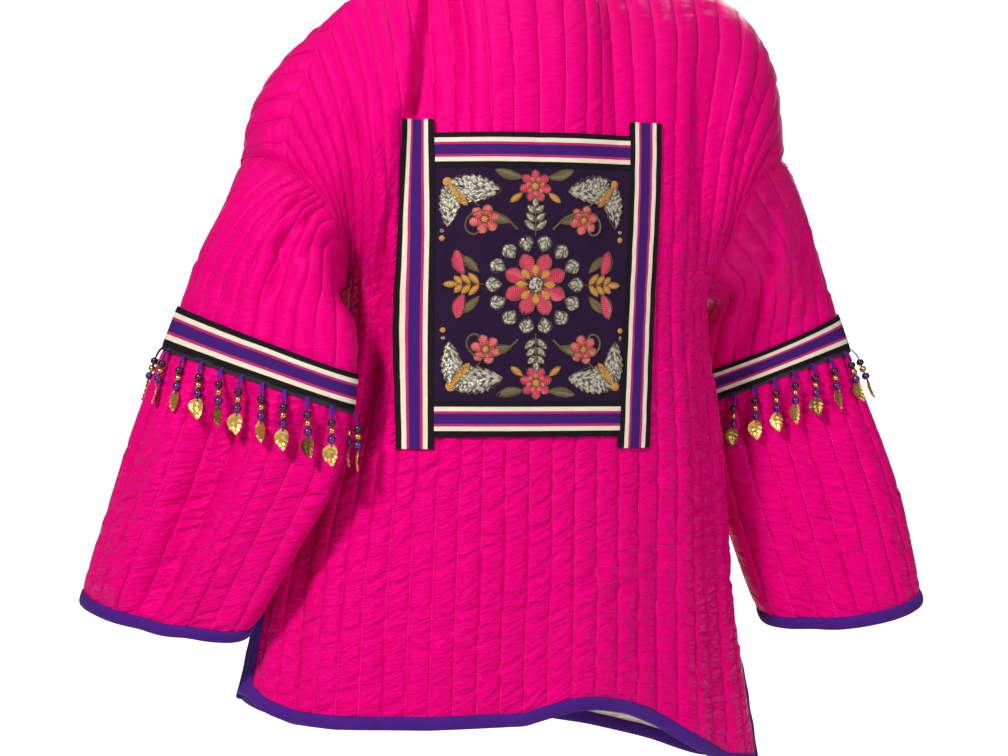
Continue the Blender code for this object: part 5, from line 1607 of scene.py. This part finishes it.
class Embroidery:
    """A symmetrical design of flowers, scrolls and leaves in low relief on the ground cloth."""

    def __init__(self) -> None:
        """Start with nothing sewn."""
        self.places: list[tuple[float, float, float, float, float]] = []
        self.faces: list[tuple[int, ...]] = []
        self.threads: list[int] = []

    def patch(self, grid: Vec, thread: int) -> None:
        """Add a grid of places: across, up, height and two flat coordinates."""
        rows, columns = grid.shape[:2]
        start = len(self.places)
        self.places += [tuple(place) for place in grid.reshape(-1, 5)]
        for i in range(rows - 1):
            for j in range(columns - 1):
                at = start + i * columns + j
                self.faces.append((at, at + 1, at + columns + 1, at + columns))
                self.threads.append(thread)

    def petal(self, at: tuple[float, float], angle: float, length: float, width: float, thread: int,
              outline: int | None = 3, bend: float = 0.0, teeth: int = 0, full: float = 0.55,
              high: float = 0.0009) -> None:
        """A domed petal or leaf with a cord round it.

        Args:
            at: Its root.
            angle: Its direction in degrees, 90 being up.
            length: Root to tip.
            width: Greatest width.
            thread: Its colour.
            outline: The cord's colour, or None.
            bend: How far its tip swings to the left, as a share of the length.
            teeth: Notches on each side.
            full: Where along its length it is widest, 0 to 1.
            high: The dome's height.
        """
        t = np.linspace(0.0, 1.0, 13 if teeth == 0 else 4 * teeth + 1)
        power = math.log(0.5) / math.log(full)
        half = width / 2 * np.sin(math.pi * t ** power) ** 0.75
        if teeth:
            half = half * (1.0 + 0.30 * (1.0 - np.mod(t * teeth, 1.0)) - 0.12)
        s = np.linspace(-1.0, 1.0, 7)
        turn = math.radians(angle)
        way = np.array([math.cos(turn), math.sin(turn)])
        side = np.array([-way[1], way[0]])
        middle = np.array(at) + np.outer(t * length, way) + np.outer(bend * length * t ** 2, side)
        flat = middle[:, None, :] + s[None, :, None] * half[:, None, None] * side
        rise = np.sin(math.pi * np.clip(t, 0.04, 0.96))[:, None] ** 0.4
        dome = high * (1.0 - s[None, :] ** 2) ** 0.5 * rise
        groove = 0.35 * high * np.exp(-(s / 0.12) ** 2)[None, :] if length > 0.014 else 0.0
        u = s[None, :] * half[:, None]
        v = np.broadcast_to((t * length)[:, None], u.shape) + np.abs(u) * 0.8
        self.patch(np.dstack([flat, np.maximum(dome - groove, 0.0), u, v]), thread)
        if outline is not None:
            rim = np.vstack([flat[:, 0], flat[::-1, -1][1:]])
            self.stem(rim, 0.00085, outline, 0.0010)

    def stem(self, line: Vec, width: float, thread: int, high: float = 0.0011) -> None:
        """A couched cord along a line."""
        line = np.asarray(line, dtype=float)
        steps = np.linalg.norm(np.diff(line, axis=0), axis=1)
        line = line[np.concatenate([[True], steps > 1e-6])]
        steps = steps[steps > 1e-6]
        if len(line) < 2:
            return
        way = np.gradient(line, axis=0)
        way /= np.maximum(np.linalg.norm(way, axis=1, keepdims=True), 1e-9)
        side = np.stack([-way[:, 1], way[:, 0]], axis=-1)
        s = np.array([-1.0, -0.55, 0.0, 0.55, 1.0])
        flat = line[:, None, :] + s[None, :, None] * side[:, None, :] * width / 2
        dome = np.broadcast_to(high * np.sqrt(1.0 - s ** 2)[None, :], flat.shape[:2])
        u = np.broadcast_to(s[None, :] * width / 2, dome.shape)
        v = np.broadcast_to(np.concatenate([[0.0], np.cumsum(steps)])[:, None], dome.shape)
        self.patch(np.dstack([flat, dome, u, v]), thread)

    def knot(self, at: tuple[float, float], size: float, thread: int) -> None:
        """A round knot or a small domed disc."""
        rings = np.linspace(1.0, 0.0, 4)
        angle = np.linspace(0.0, 2 * math.pi, 13)
        around = np.stack([np.cos(angle), np.sin(angle)], axis=-1)
        flat = np.array(at) + size * rings[:, None, None] * around
        dome = np.broadcast_to(0.0011 * np.sqrt(1.0 - rings ** 2)[:, None], flat.shape[:2])
        u, v = flat[..., 0], flat[..., 1]
        self.patch(np.dstack([flat, dome, u, v]), thread)

    def flower(self, at: tuple[float, float], size: float, petals: int, threads: tuple[int, int, int],
               turn: float = 0.0) -> None:
        """Two rings of petals round a domed middle."""
        for ring, (reach, thread) in enumerate(((1.0, threads[0]), (0.62, threads[1]))):
            for number in range(petals):
                angle = turn + (number + 0.5 * ring) * 360.0 / petals
                root = (at[0] + 0.22 * size * math.cos(math.radians(angle)),
                        at[1] + 0.22 * size * math.sin(math.radians(angle)))
                wide = 2.0 * math.pi * 0.6 * size * reach / petals
                self.petal(root, angle, size * (reach - 0.22), wide, thread, full=0.62,
                           high=0.0010 + 0.0003 * ring)
        self.knot(at, size * 0.24, threads[2])

    def scroll(self, at: tuple[float, float], angle: float, size: float, flip: float) -> Vec:
        """A stem that leaves a point and curls in on itself."""
        t = np.linspace(0.0, 1.0, 34)
        turn = math.radians(angle) + flip * (0.2 + 5.6 * t ** 1.7)
        pace = size * (1.0 - 0.80 * t)
        steps = np.stack([np.cos(turn), np.sin(turn)], axis=-1) * pace[:, None] / 17.0
        line = np.array(at) + np.cumsum(steps, axis=0)
        self.stem(line, 0.0022, 4)
        self.stem(line, 0.0008, 3, 0.0016)
        return line

    def spray(self, at: tuple[float, float], angle: float, length: float, leaves: int, thread: int,
              size: float) -> None:
        """A straight stem with paired leaves and one at its tip."""
        turn = math.radians(angle)
        tip = (at[0] + length * math.cos(turn), at[1] + length * math.sin(turn))
        self.stem(np.linspace(at, tip, 8), 0.0012, 3)
        for number in range(leaves):
            share = (number + 0.6) / leaves
            root = (at[0] + (tip[0] - at[0]) * share, at[1] + (tip[1] - at[1]) * share)
            for side in (-1, 1):
                self.petal(root, angle + side * 48.0, size * (1.1 - 0.4 * share), size * 0.42, thread,
                           teeth=0, full=0.5)
        self.petal(tip, angle, size, size * 0.45, thread)

    def build(self, back: WholeBack, threads: list[Material]) -> Object:
        """Lay what was sewn on the ground cloth."""
        places = np.array(self.places)
        points = back.place(places[:, 0], places[:, 1], LAID_UP + GROUND_THICK - 0.0002 + places[:, 2])
        mesh = bmesh.new()
        flat = mesh.loops.layers.uv.new("cloth")
        verts = [mesh.verts.new(point) for point in turned(points)]
        for corners, thread in zip(self.faces, self.threads):
            face = mesh.faces.new([verts[i] for i in corners])
            face.material_index = thread
            for loop, i in zip(face.loops, corners):
                loop[flat].uv = tuple(places[i, 3:5])
        bmesh.ops.remove_doubles(mesh, verts=mesh.verts[:], dist=0.000001)
        out = turned(back.sample(np.array([7.0]), np.array([[0.0]]))[1][0, 0])
        mesh.normal_update()
        for face in mesh.faces:
            if face.normal.dot(out) < 0:
                face.normal_flip()
        return declare(finished("embroidery", mesh, threads, 80.0), "dark_ground")


PINK, OCHRE, SILVER, CORD, OLIVE, ROSE = range(6)


@dataclass(frozen=True)
class Corner:
    """One quarter of the design, which is drawn once and mirrored.

    Args:
        x: The panel's middle across.
        z: The panel's middle height.
        side: -1 left, 1 right.
        up: -1 below, 1 above.
    """

    x: float
    z: float
    side: int
    up: int

    def at(self, across: float, height: float) -> tuple[float, float]:
        """A place by its distances from the panel's middle."""
        return self.x + self.side * across, self.z + self.up * height

    def turn(self, degrees: float) -> float:
        """A direction, 0 pointing outwards and 90 away from the middle's height."""
        return 90.0 - self.side * (90.0 - self.up * degrees)

    def bend(self, share: float) -> float:
        """A bend that is mirrored with the rest."""
        return share * self.side * self.up

    def leaves(self, sewing: Embroidery) -> None:
        """Sew a scroll, a flower, a large notched leaf and two feathered ones."""
        sewing.scroll(self.at(0.015, 0.052), self.turn(58.0), 0.074, self.bend(-1.0))
        sewing.petal(self.at(0.024, 0.062), self.turn(20.0), 0.026, 0.0100, OLIVE, bend=self.bend(-0.2))
        sewing.flower(self.at(0.0500, 0.0650), 0.0150, 6, (ROSE, PINK, OCHRE), 15.0 * self.up)
        corner = self.at(0.0840, 0.1020)
        for degrees, length, width, share, teeth in ((202.0, 0.050, 0.0260, -0.22, 8),
                                                     (260.0, 0.044, 0.0190, 0.20, 7)):
            sewing.petal(corner, self.turn(degrees), length, width, SILVER, bend=self.bend(share),
                         teeth=teeth, full=0.45)
        sewing.petal(corner, self.turn(232.0), 0.030, 0.0110, OCHRE)
        sewing.knot(corner, 0.0050, OCHRE)
        sewing.stem(np.linspace(self.at(0.055, 0.078), self.at(0.066, 0.088), 6), 0.0013, CORD)

    def side_leaves(self, sewing: Embroidery) -> None:
        """Sew two leaves and two knots beside the medallion."""
        sewing.petal(self.at(0.070, 0.009), self.turn(62.0), 0.026, 0.0125, PINK, bend=self.bend(0.2))
        sewing.petal(self.at(0.056, 0.012), self.turn(48.0), 0.022, 0.0080, OLIVE)
        sewing.knot(self.at(0.0905, 0.046), 0.0028, OCHRE)
        sewing.knot(self.at(0.0905, 0.0535), 0.0020, SILVER)

    def end_leaves(self, sewing: Embroidery) -> None:
        """Sew two leaves beside the flower over or under the medallion."""
        turn = 90.0 - self.side * 86.0
        sewing.petal(self.at(0.012, 0.107), turn, 0.028, 0.0095, OLIVE, bend=self.bend(0.2))
        turn = 90.0 - self.side * (90.0 + self.up * 38.0)
        sewing.petal(self.at(0.013, 0.092), turn, 0.016, 0.0065, OCHRE)


def sew_design(sewing: Embroidery) -> None:
    """The panel's design: a medallion, four scrolls, corner leaves and sprays, mirrored left to right."""
    x, z = -0.0125, -0.3445
    for number in range(14):
        angle = number * 360.0 / 14
        turn = math.radians(angle)
        root = (x + 0.0335 * math.cos(turn), z + 0.0335 * math.sin(turn))
        sewing.petal(root, angle, 0.0165, 0.0150, SILVER, full=0.58)
    sewing.flower((x, z), 0.033, 8, (PINK, OCHRE, SILVER), 22.5)
    for side in (-1, 1):
        corners = [Corner(x, z, side, up) for up in (-1, 1)]
        for corner in corners:
            corner.leaves(sewing)
        sewing.spray((x + side * 0.051, z), 90.0 - side * 90.0, 0.024, 3, OCHRE, 0.0150)
        for corner in corners:
            corner.side_leaves(sewing)
    for up in (-1, 1):
        sewing.spray((x, z + up * 0.049), up * 90.0, 0.026, 3, SILVER, 0.0150)
        sewing.flower((x, z + up * 0.0985), 0.0165, 7, (PINK, ROSE, OCHRE), up * 90.0)
        for side in (-1, 1):
            Corner(x, z, side, up).end_leaves(sewing)


# SLEEVE TRIM


@dataclass
class SleeveBand:
    """The striped band round a sleeve."""

    shape: SleeveShape

    def build(self, surface: Material) -> Object:
        """Lay the band on the sleeve's quilting."""
        share = np.linspace(0.0, 1.0, 10)
        levels = BAND_TOP + (self.shape.band_end - BAND_TOP) * share
        k = fine_channels(0.0, SLEEVE_COLUMNS / 2)[:-1]
        points, ways = self.shape.sample(levels, k * 2.0)
        ripple = 0.0004 * (pillow(k) - 0.6)[None, :] + 0.0003 * np.sin(k * 2.3)[None, :] * share[:, None]
        roll = np.where((share < 1e-6) | (share > 1 - 1e-6), -0.0004, 0.0)[:, None]
        outer = points + ways * (PUFF + LAY_GAP + RIBBON_THICK + ripple + roll)[..., None]
        inner = points + ways * (PUFF + LAY_GAP - 0.0016)
        u = np.broadcast_to(share[:, None], ripple.shape)
        v = np.broadcast_to((k * CHANNEL)[None, :], ripple.shape)
        name = f"band_{self.shape.side.value}"
        item = Grid(outer, inner, u, v, closed=True).build(f"cloth_{name}", surface)
        return declare(item, "striped_ribbon", name)


CORD_THREAD, BLACK_GLASS, GOLD_BEAD, PURPLE_GLASS, LEAF_GOLD, LEAF_DARK, TAPE = range(7)


@dataclass
class Drops:
    """Beaded drops hung from a tape under a sleeve's band."""

    shape: SleeveShape
    beads: tuple = ((0.0140, 0.0042, BLACK_GLASS), (0.0219, 0.0039, GOLD_BEAD),
                    (0.0303, 0.0045, PURPLE_GLASS))
    leaf: tuple = (0.0352, 0.0212, 0.0076)

    def __post_init__(self) -> None:
        """Start an empty mesh."""
        self.mesh = bmesh.new()
        self.random = np.random.default_rng(11 if self.shape.side == LEFT else 12)

    def skin(self, sections: Vec, thread: int) -> None:
        """A shut tube through four-sided or rounder sections."""
        verts = [[self.mesh.verts.new(place) for place in section] for section in turned(sections)]
        around = len(verts[0])
        for low, high in zip(verts[:-1], verts[1:]):
            for j in range(around):
                after = (j + 1) % around
                face = self.mesh.faces.new((low[j], low[after], high[after], high[j]))
                face.material_index = thread
        for section in (verts[0], verts[-1]):
            self.mesh.faces.new(section).material_index = thread

    def bead(self, centre: Vec, down: Vec, side: Vec, radius: float, thread: int) -> None:
        """A round bead, cut flat at both ends."""
        out = np.cross(side, down)
        angle = np.linspace(0.0, 2 * math.pi, 15)[:-1]
        ring = np.cos(angle)[:, None] * side + np.sin(angle)[:, None] * out
        tilt = np.linspace(-1.32, 1.32, 10)
        self.skin(np.array([centre + down * radius * 0.94 * math.sin(a) + ring * radius * math.cos(a)
                            for a in tilt]), thread)

    def cord(self, root: Vec, end: Vec, side: Vec, out: Vec) -> None:
        """A flat cord from the tape to the first bead."""
        share = np.linspace(0.0, 1.0, 6)
        half = np.interp(share, (0.0, 0.7, 1.0), (0.0022, 0.0019, 0.0011))
        middle = root + np.outer(share, end - root) + np.outer(0.0012 * np.sin(math.pi * share), out)
        corners = ((-1, -0.35), (-0.6, -0.6), (0.6, -0.6), (1, -0.35),
                   (1, 0.35), (0.6, 0.6), (-0.6, 0.6), (-1, 0.35))
        self.skin(np.array([[m + side * a * h + out * b * 0.0010 for a, b in corners]
                            for m, h in zip(middle, half)]), CORD_THREAD)

    def hang_leaf(self, top: Vec, down: Vec, side: Vec, out: Vec, dark: bool) -> None:
        """A beaten leaf with a notched edge and slanted veins."""
        _, length, half_width = self.leaf
        t = np.linspace(0.0, 1.0, 17)
        s = np.linspace(-1.0, 1.0, 9)
        half = half_width * np.sin(math.pi * np.clip(t, 0.015, 0.985) ** 0.72) ** 0.72
        half = half * (1.0 - 0.09 * (np.arange(len(t)) % 2))
        sway = 0.0016 * np.sin(math.pi * t * 1.2)
        vein = 0.00045 * np.cos((t[:, None] * 9.0 - np.abs(s)[None, :] * 2.1) * math.pi)
        cup = 0.0011 * s[None, :] ** 2 - 0.0012 * np.sin(math.pi * t)[:, None]
        spine = 0.0007 * np.exp(-(s / 0.14) ** 2)[None, :]
        lift = (vein * (1 - np.exp(-(s / 0.2) ** 2))[None, :] + cup + spine)
        grid = (top + np.einsum("i,k->ik", t * length, down)[:, None, :]
                + (s[None, :] * half[:, None] + sway[:, None])[..., None] * side + lift[..., None] * out)
        thread = LEAF_DARK if dark else LEAF_GOLD
        front = turned(grid)
        rear = turned(grid - out * 0.0007)
        verts = [[[self.mesh.verts.new(place) for place in line] for line in face] for face in (front, rear)]
        rows, columns = len(t), len(s)
        for number, face in enumerate(verts):
            for i in range(rows - 1):
                for j in range(columns - 1):
                    corners = (face[i][j], face[i][j + 1], face[i + 1][j + 1], face[i + 1][j])
                    self.mesh.faces.new(corners if number else corners[::-1]).material_index = thread
        rim = [(i, 0) for i in range(rows)] + [(rows - 1, j) for j in range(1, columns)]
        rim += [(i, columns - 1) for i in range(rows - 2, -1, -1)]
        rim += [(0, j) for j in range(columns - 2, 0, -1)]
        for (a, b), (c, d) in zip(rim, rim[1:] + rim[:1]):
            made = self.mesh.faces.new((verts[0][a][b], verts[0][c][d], verts[1][c][d], verts[1][a][b]))
            made.material_index = thread

    def build(self, threads: list[Material]) -> Object:
        """Hang every drop and make the tape behind them."""
        shape = self.shape
        start = shape.band_end + STRIP_BELOW
        columns = np.arange(0, SLEEVE_COLUMNS, DROP_EVERY, dtype=float)
        tops, outs = shape.sample(np.array([start]), columns)
        lows, _ = shape.sample(np.array([start + STRIP_SPAN]), columns)
        tip_level = shape.band_end + DROP_LONG / shape.length
        beside, beside_out = shape.sample(np.array([tip_level]), columns)
        ring = fine_channels(0.0, SLEEVE_COLUMNS / 2)[:-1] * 2.0
        edge, edge_out = shape.sample(np.array([start - 0.004, start + STRIP_SPAN * 0.8]), ring)
        height = PUFF + LAY_GAP
        self.belt(np.array([edge[i] + edge_out[i] * (height + up) for i, up in TAPE_SECTION]))
        for number in range(len(columns)):
            out = outs[0, number]
            step = unit(lows[0, number] - tops[0, number])
            middle = tops[0, number] + out * (height + STRIP_THICK / 2) + step * STRIP_HEIGHT
            hanging = middle - np.array([0.0, 0.0, DROP_LONG])
            short = DROP_CLEAR + PUFF - float((hanging - beside[0, number]).dot(beside_out[0, number]))
            down = unit(hanging + beside_out[0, number] * max(short, 0.0) - middle)
            side = unit(np.cross(down, out))
            out = unit(np.cross(side, down))
            side_lean = self.random.uniform(-0.05, 0.05)
            down = unit(down + side * side_lean)
            root = middle + out * DROP_OUT
            lift = out * DROP_CLEAR * DROP_LIFT
            self.cord(root - down * 0.0035 - out * 0.0012, root + down * 0.0105 + lift, side, out)
            for depth, radius, thread in self.beads:
                self.bead(root + down * depth + lift, down, side, radius, thread)
            string = [root + down * d + lift + np.cross(side, down) * STRING_HALF * b + side * STRING_HALF * a
                      for d in STRING_ENDS for a, b in ((-1, -1), (1, -1), (1, 1), (-1, 1))]
            self.skin(np.array(string).reshape(2, 4, 3), CORD_THREAD)
            turn = math.radians(LEAF_TURNS[number % len(LEAF_TURNS)] + self.random.uniform(-14, 14))
            side_turned = side * math.cos(turn) + out * math.sin(turn)
            out_turned = out * math.cos(turn) - side * math.sin(turn)
            self.hang_leaf(root + down * self.leaf[0] + lift, down, side_turned, out_turned,
                           number % 4 == 3)
        bmesh.ops.recalc_face_normals(self.mesh, faces=self.mesh.faces[:])
        name = f"drops_{shape.side.value}"
        return declare(finished(f"hung_{name}", self.mesh, threads, 60.0), "beads_and_leaves", name)

    def belt(self, lines: Vec) -> None:
        """The tape that the drops hang from, as one closed ring."""
        verts = [[self.mesh.verts.new(place) for place in line] for line in turned(lines)]
        around, count = len(verts), len(verts[0])
        for i in range(around):
            for j in range(count):
                after = (j + 1) % count
                beside = (i + 1) % around
                corners = (verts[i][j], verts[i][after], verts[beside][after], verts[beside][j])
                self.mesh.faces.new(corners).material_index = TAPE


# STUDIO


@dataclass
class Studio:
    """Camera, lights and floor."""

    eye: tuple = (-0.012, -2.725, -0.438)
    lens: float = 36.0 * 2.6 / 1.008
    floor: float = -1.30

    def camera(self) -> None:
        """The photo's level view of the back."""
        made = bpy.data.objects.new("camera", bpy.data.cameras.new("camera"))
        made.data.lens = self.lens
        made.data.sensor_width = 36.0
        made.location = self.eye
        made.rotation_euler = (math.pi / 2, 0.0, 0.0)
        bpy.context.collection.objects.link(made)
        bpy.context.scene.camera = made

    def light(self, name: str, place: tuple, size: float, power: float) -> None:
        """A soft square lamp facing the jacket."""
        lamp = bpy.data.lights.new(name, "AREA")
        lamp.size = size
        lamp.energy = power
        made = bpy.data.objects.new(name, lamp)
        made.location = place
        aim = Vector((0.0, 0.0, -0.4)) - made.location
        made.rotation_euler = aim.to_track_quat("-Z", "Y").to_euler()
        bpy.context.collection.objects.link(made)

    def backdrop(self) -> None:
        """Hang a lit white sheet well behind the jacket."""
        mesh = bmesh.new()
        bmesh.ops.create_grid(mesh, x_segments=1, y_segments=1, size=1.0)
        for vert in mesh.verts:
            vert.co = (vert.co.x * 3.6, 8.0, self.eye[2] + vert.co.y * 2.8)
        lit = self.pale("white_sheet", Emission_Color=(1.0, 1.0, 1.0, 1.0), Emission_Strength=1.1)
        finished("backdrop", mesh, [lit])

    @staticmethod
    def pale(name: str, **sizes: object) -> Material:
        """A matt, slightly uneven white."""
        n = Nodes(name)
        return n.done((0.9, 0.9, 0.9), 0.8, n.bump(n.noise(n.spot(), 300.0), 0.0005), **sizes)

    def build(self) -> None:
        """Light the jacket softly from the left and lay a pale floor well below it."""
        self.light("key", (-1.60, -2.50, 1.50), 0.5, 127.0)
        self.light("fill", (2.0, -2.5, 0.6), 0.8, 43.0)
        self.light("top", (0.2, -0.2, 1.9), 1.2, 8.0)
        self.light("behind", (0.7, 2.7, 1.7), 1.4, 62.0)
        world = bpy.data.worlds.new("world")
        bpy.context.scene.world = world
        world.use_nodes = True
        sky = world.node_tree.nodes["Background"].inputs
        sky["Color"].default_value = (1.0, 0.94, 0.86, 1.0)
        sky["Strength"].default_value = 0.11
        mesh = bmesh.new()
        bmesh.ops.create_grid(mesh, x_segments=1, y_segments=1, size=3.0)
        for vert in mesh.verts:
            vert.co.z = self.floor
        finished("floor", mesh, [self.pale("floor")])
        self.backdrop()
        bpy.context.scene.view_settings.view_transform = "Standard"


# THE JACKET


class Jacket:
    """Every piece of the jacket, built and dressed."""

    def __init__(self) -> None:
        """Shape the body and both sleeves."""
        self.body = BodyShape()
        self.sleeves = {side: SleeveShape(side, self.body) for side in Side}
        for quarter in self.body.quarters.values():
            quarter.spread()
        self.back = WholeBack(self.body)
        self.silk, self.purple = Silk().make(), Grosgrain().make()
        self.stripe, self.ground = Woven().make(), Ground().make()

    def side_edge(self, quarter: Quarter) -> Edge:
        """A vent's edge, from just under the vent's top to the hem."""
        rows = np.linspace(VENT_ROW + VENT_START, ROWS, 44)
        k = np.full((len(rows), 1), SIDE_K)
        points, ways = quarter.sample(rows, k)
        return Edge.of(points[:, 0], ways[:, 0], quarter.sample(rows, k - 0.5)[0][:, 0])

    def hem_edge(self, panel: Panel, first: float, last: float) -> Edge:
        """A hem's edge between two channels."""
        k = np.linspace(first, last, round((last - first) * 5) + 1)[None, :]
        points, ways = panel.sample(np.array([float(ROWS)]), k)
        return Edge.of(points[0], ways[0], panel.sample(np.array([ROWS - 0.5]), k)[0][0])

    def bindings(self) -> dict[str, Object]:
        """Bindings of the back, the fronts, the neck and the cuffs."""
        quarters = self.body.quarters
        made = {}
        back = Edge.chain([self.side_edge(quarters[LEFT, BACK]), self.hem_edge(self.back, -SIDE_K, SIDE_K),
                           self.side_edge(quarters[RIGHT, BACK]).back()])
        made["back"] = Binding("binding_back", back, taper=(True, True)).build(self.purple)
        for side in Side:
            quarter = quarters[side, FRONT]
            rows = np.linspace(ROWS, 0.0, 130)
            k = np.full((len(rows), 1), FRONT_EDGE_K)
            points, ways = quarter.sample(rows, k)
            front = Edge.of(points[:, 0], ways[:, 0], quarter.sample(rows, k + 0.5)[0][:, 0])
            hem = self.hem_edge(quarter, FRONT_EDGE_K, SIDE_K).back()
            path = Edge.chain([self.side_edge(quarter), hem, front])
            name = f"binding_front_{side.value}"
            made[f"front_{side.value}"] = Binding(name, path, taper=(True, False)).build(self.purple)
        made["neck"] = Binding("binding_neck", self.neck_edge()).build(self.purple)
        for side in Side:
            sleeve = self.sleeves[side]
            columns = np.linspace(0.0, SLEEVE_COLUMNS, 109)[:-1]
            points, ways = sleeve.sample(np.array([0.985, 1.0]), columns)
            edge = Edge(points[1], unit(points[1] - points[0]), ways[1])
            name = f"binding_cuff_{side.value}"
            made[f"cuff_{side.value}"] = Binding(name, edge, closed=True).build(self.purple)
        return made

    def neck_edge(self) -> Edge:
        """The neck's edge from one front edge round the back to the other."""
        points, ways = [], []
        for side, face, forward in ((LEFT, FRONT, True), (LEFT, BACK, False), (RIGHT, BACK, True),
                                    (RIGHT, FRONT, False)):
            quarter = self.body.quarters[side, face]
            k = np.linspace(quarter.first, NECK_K, 16)
            run, out = (part[0] for part in quarter.sample(np.array([0.0]), k[None, :]))
            if not forward:
                run, out = run[::-1], out[::-1]
            if points:
                points[-1] = (points[-1] + run[0]) / 2
                ways[-1] = unit(ways[-1] + out[0])
                run, out = run[1:], out[1:]
            points += list(run)
            ways += list(out)
        points, ways = np.array(points), np.array(ways)
        middle = np.array([0.0, 0.01, 0.0]) + points * np.array([0.0, 0.0, 1.0])
        return Edge.of(points, ways, 2 * points - middle)

    def panel(self) -> list[Object]:
        """The ground cloth, its ribbons and its embroidery."""
        top_end, top, foot, foot_end = (PANEL_Z[name] for name in ("top_end", "top", "foot", "foot_end"))
        below_top, over_foot = top - RIBBON_WIDTH, foot + RIBBON_WIDTH
        laid = (LaidPiece("ribbon_left", left_sides, (top_end, foot_end), RIBBON_THICK),
                LaidPiece("ribbon_right", right_sides, (top_end, foot_end), RIBBON_THICK),
                LaidPiece("ribbon_top", inner_sides, (top, below_top), RIBBON_THICK, False),
                LaidPiece("ribbon_bottom", inner_sides, (over_foot, foot), RIBBON_THICK, False))
        made = [piece.build(self.back, self.stripe) for piece in laid]
        ground = LaidPiece("panel_ground", inner_sides, (below_top, over_foot), GROUND_THICK - 0.0002,
                           slot="dark_ground")
        made.append(ground.build(self.back, self.ground))
        sewing = Embroidery()
        sew_design(sewing)
        threads = [Thread("pink_thread", (0.80, 0.05, 0.11), (0.30, 0.01, 0.05)),
                   Thread("ochre_thread", (0.74, 0.34, 0.045), (0.30, 0.11, 0.015)),
                   Thread("silver_thread", (0.66, 0.61, 0.46), (0.035, 0.030, 0.028), 0.25, 0.35,
                          dotted=True),
                   Thread("gold_cord", (0.42, 0.29, 0.13), (0.16, 0.10, 0.04), 0.5, 0.4, 0.0007),
                   Thread("olive_thread", (0.17, 0.13, 0.045), (0.08, 0.06, 0.025)),
                   Thread("rose_thread", (0.78, 0.16, 0.13), (0.50, 0.05, 0.07))]
        made.append(sewing.build(self.back, [thread.make() for thread in threads]))
        return made

    def build(self) -> None:
        bound = self.bindings()
        laid = self.panel()
        whole = QuiltedPanel("back", self.back, (-SHOULDER_K, SHOULDER_K, False), Creases(3), BACK_CREASES)
        item = whole.build(self.silk)
        for number, side in enumerate(Side):
            name = f"front_{side.value}"
            front = QuiltedPanel(name, self.body.quarters[side, FRONT], (FRONT_EDGE_K, SHOULDER_K, True),
                                 Creases(21 + number), FRONT_CREASES)
            item = front.build(self.silk)
        dressing = (Grosgrain(),
                    Glaze("black_glass", (0.004, 0.003, 0.004), (0.008, 0.004, 0.008), coat=0.15),
                    Glaze("gold_bead", (0.62, 0.42, 0.14), (0.36, 0.22, 0.06), 1.0, 0.16, 0.2),
                    Glaze("purple_glass", (0.050, 0.008, 0.110), (0.020, 0.003, 0.05), coat=0.25),
                    Glaze("leaf_gold", (0.86, 0.58, 0.16), (0.62, 0.36, 0.08), 0.9, 0.22, 0.1, 0.0003),
                    Glaze("leaf_dark", (0.26, 0.15, 0.035), (0.13, 0.07, 0.02), 0.9, 0.26, 0.1, 0.0003),
                    Thread("black_tape", (0.007, 0.005, 0.007), (0.003, 0.002, 0.003), roughness=0.8))
        bead_threads = [finish.make() for finish in dressing]
        for number, side in enumerate(Side):
            shape = self.sleeves[side]
            sleeve = QuiltedSleeve(shape, Creases(41 + number))
            item = sleeve.build(self.silk)
            trim = [bound[f"cuff_{side.value}"], SleeveBand(shape).build(self.stripe),
                    Drops(shape).build(bead_threads)]


def main() -> None:
    """Build the scene."""
    logging.basicConfig(level=logging.INFO, format="%(message)s")
    studio = Studio()
    studio.camera()
    Jacket().build()
    studio.build()


if __name__ == "__main__":
    main()
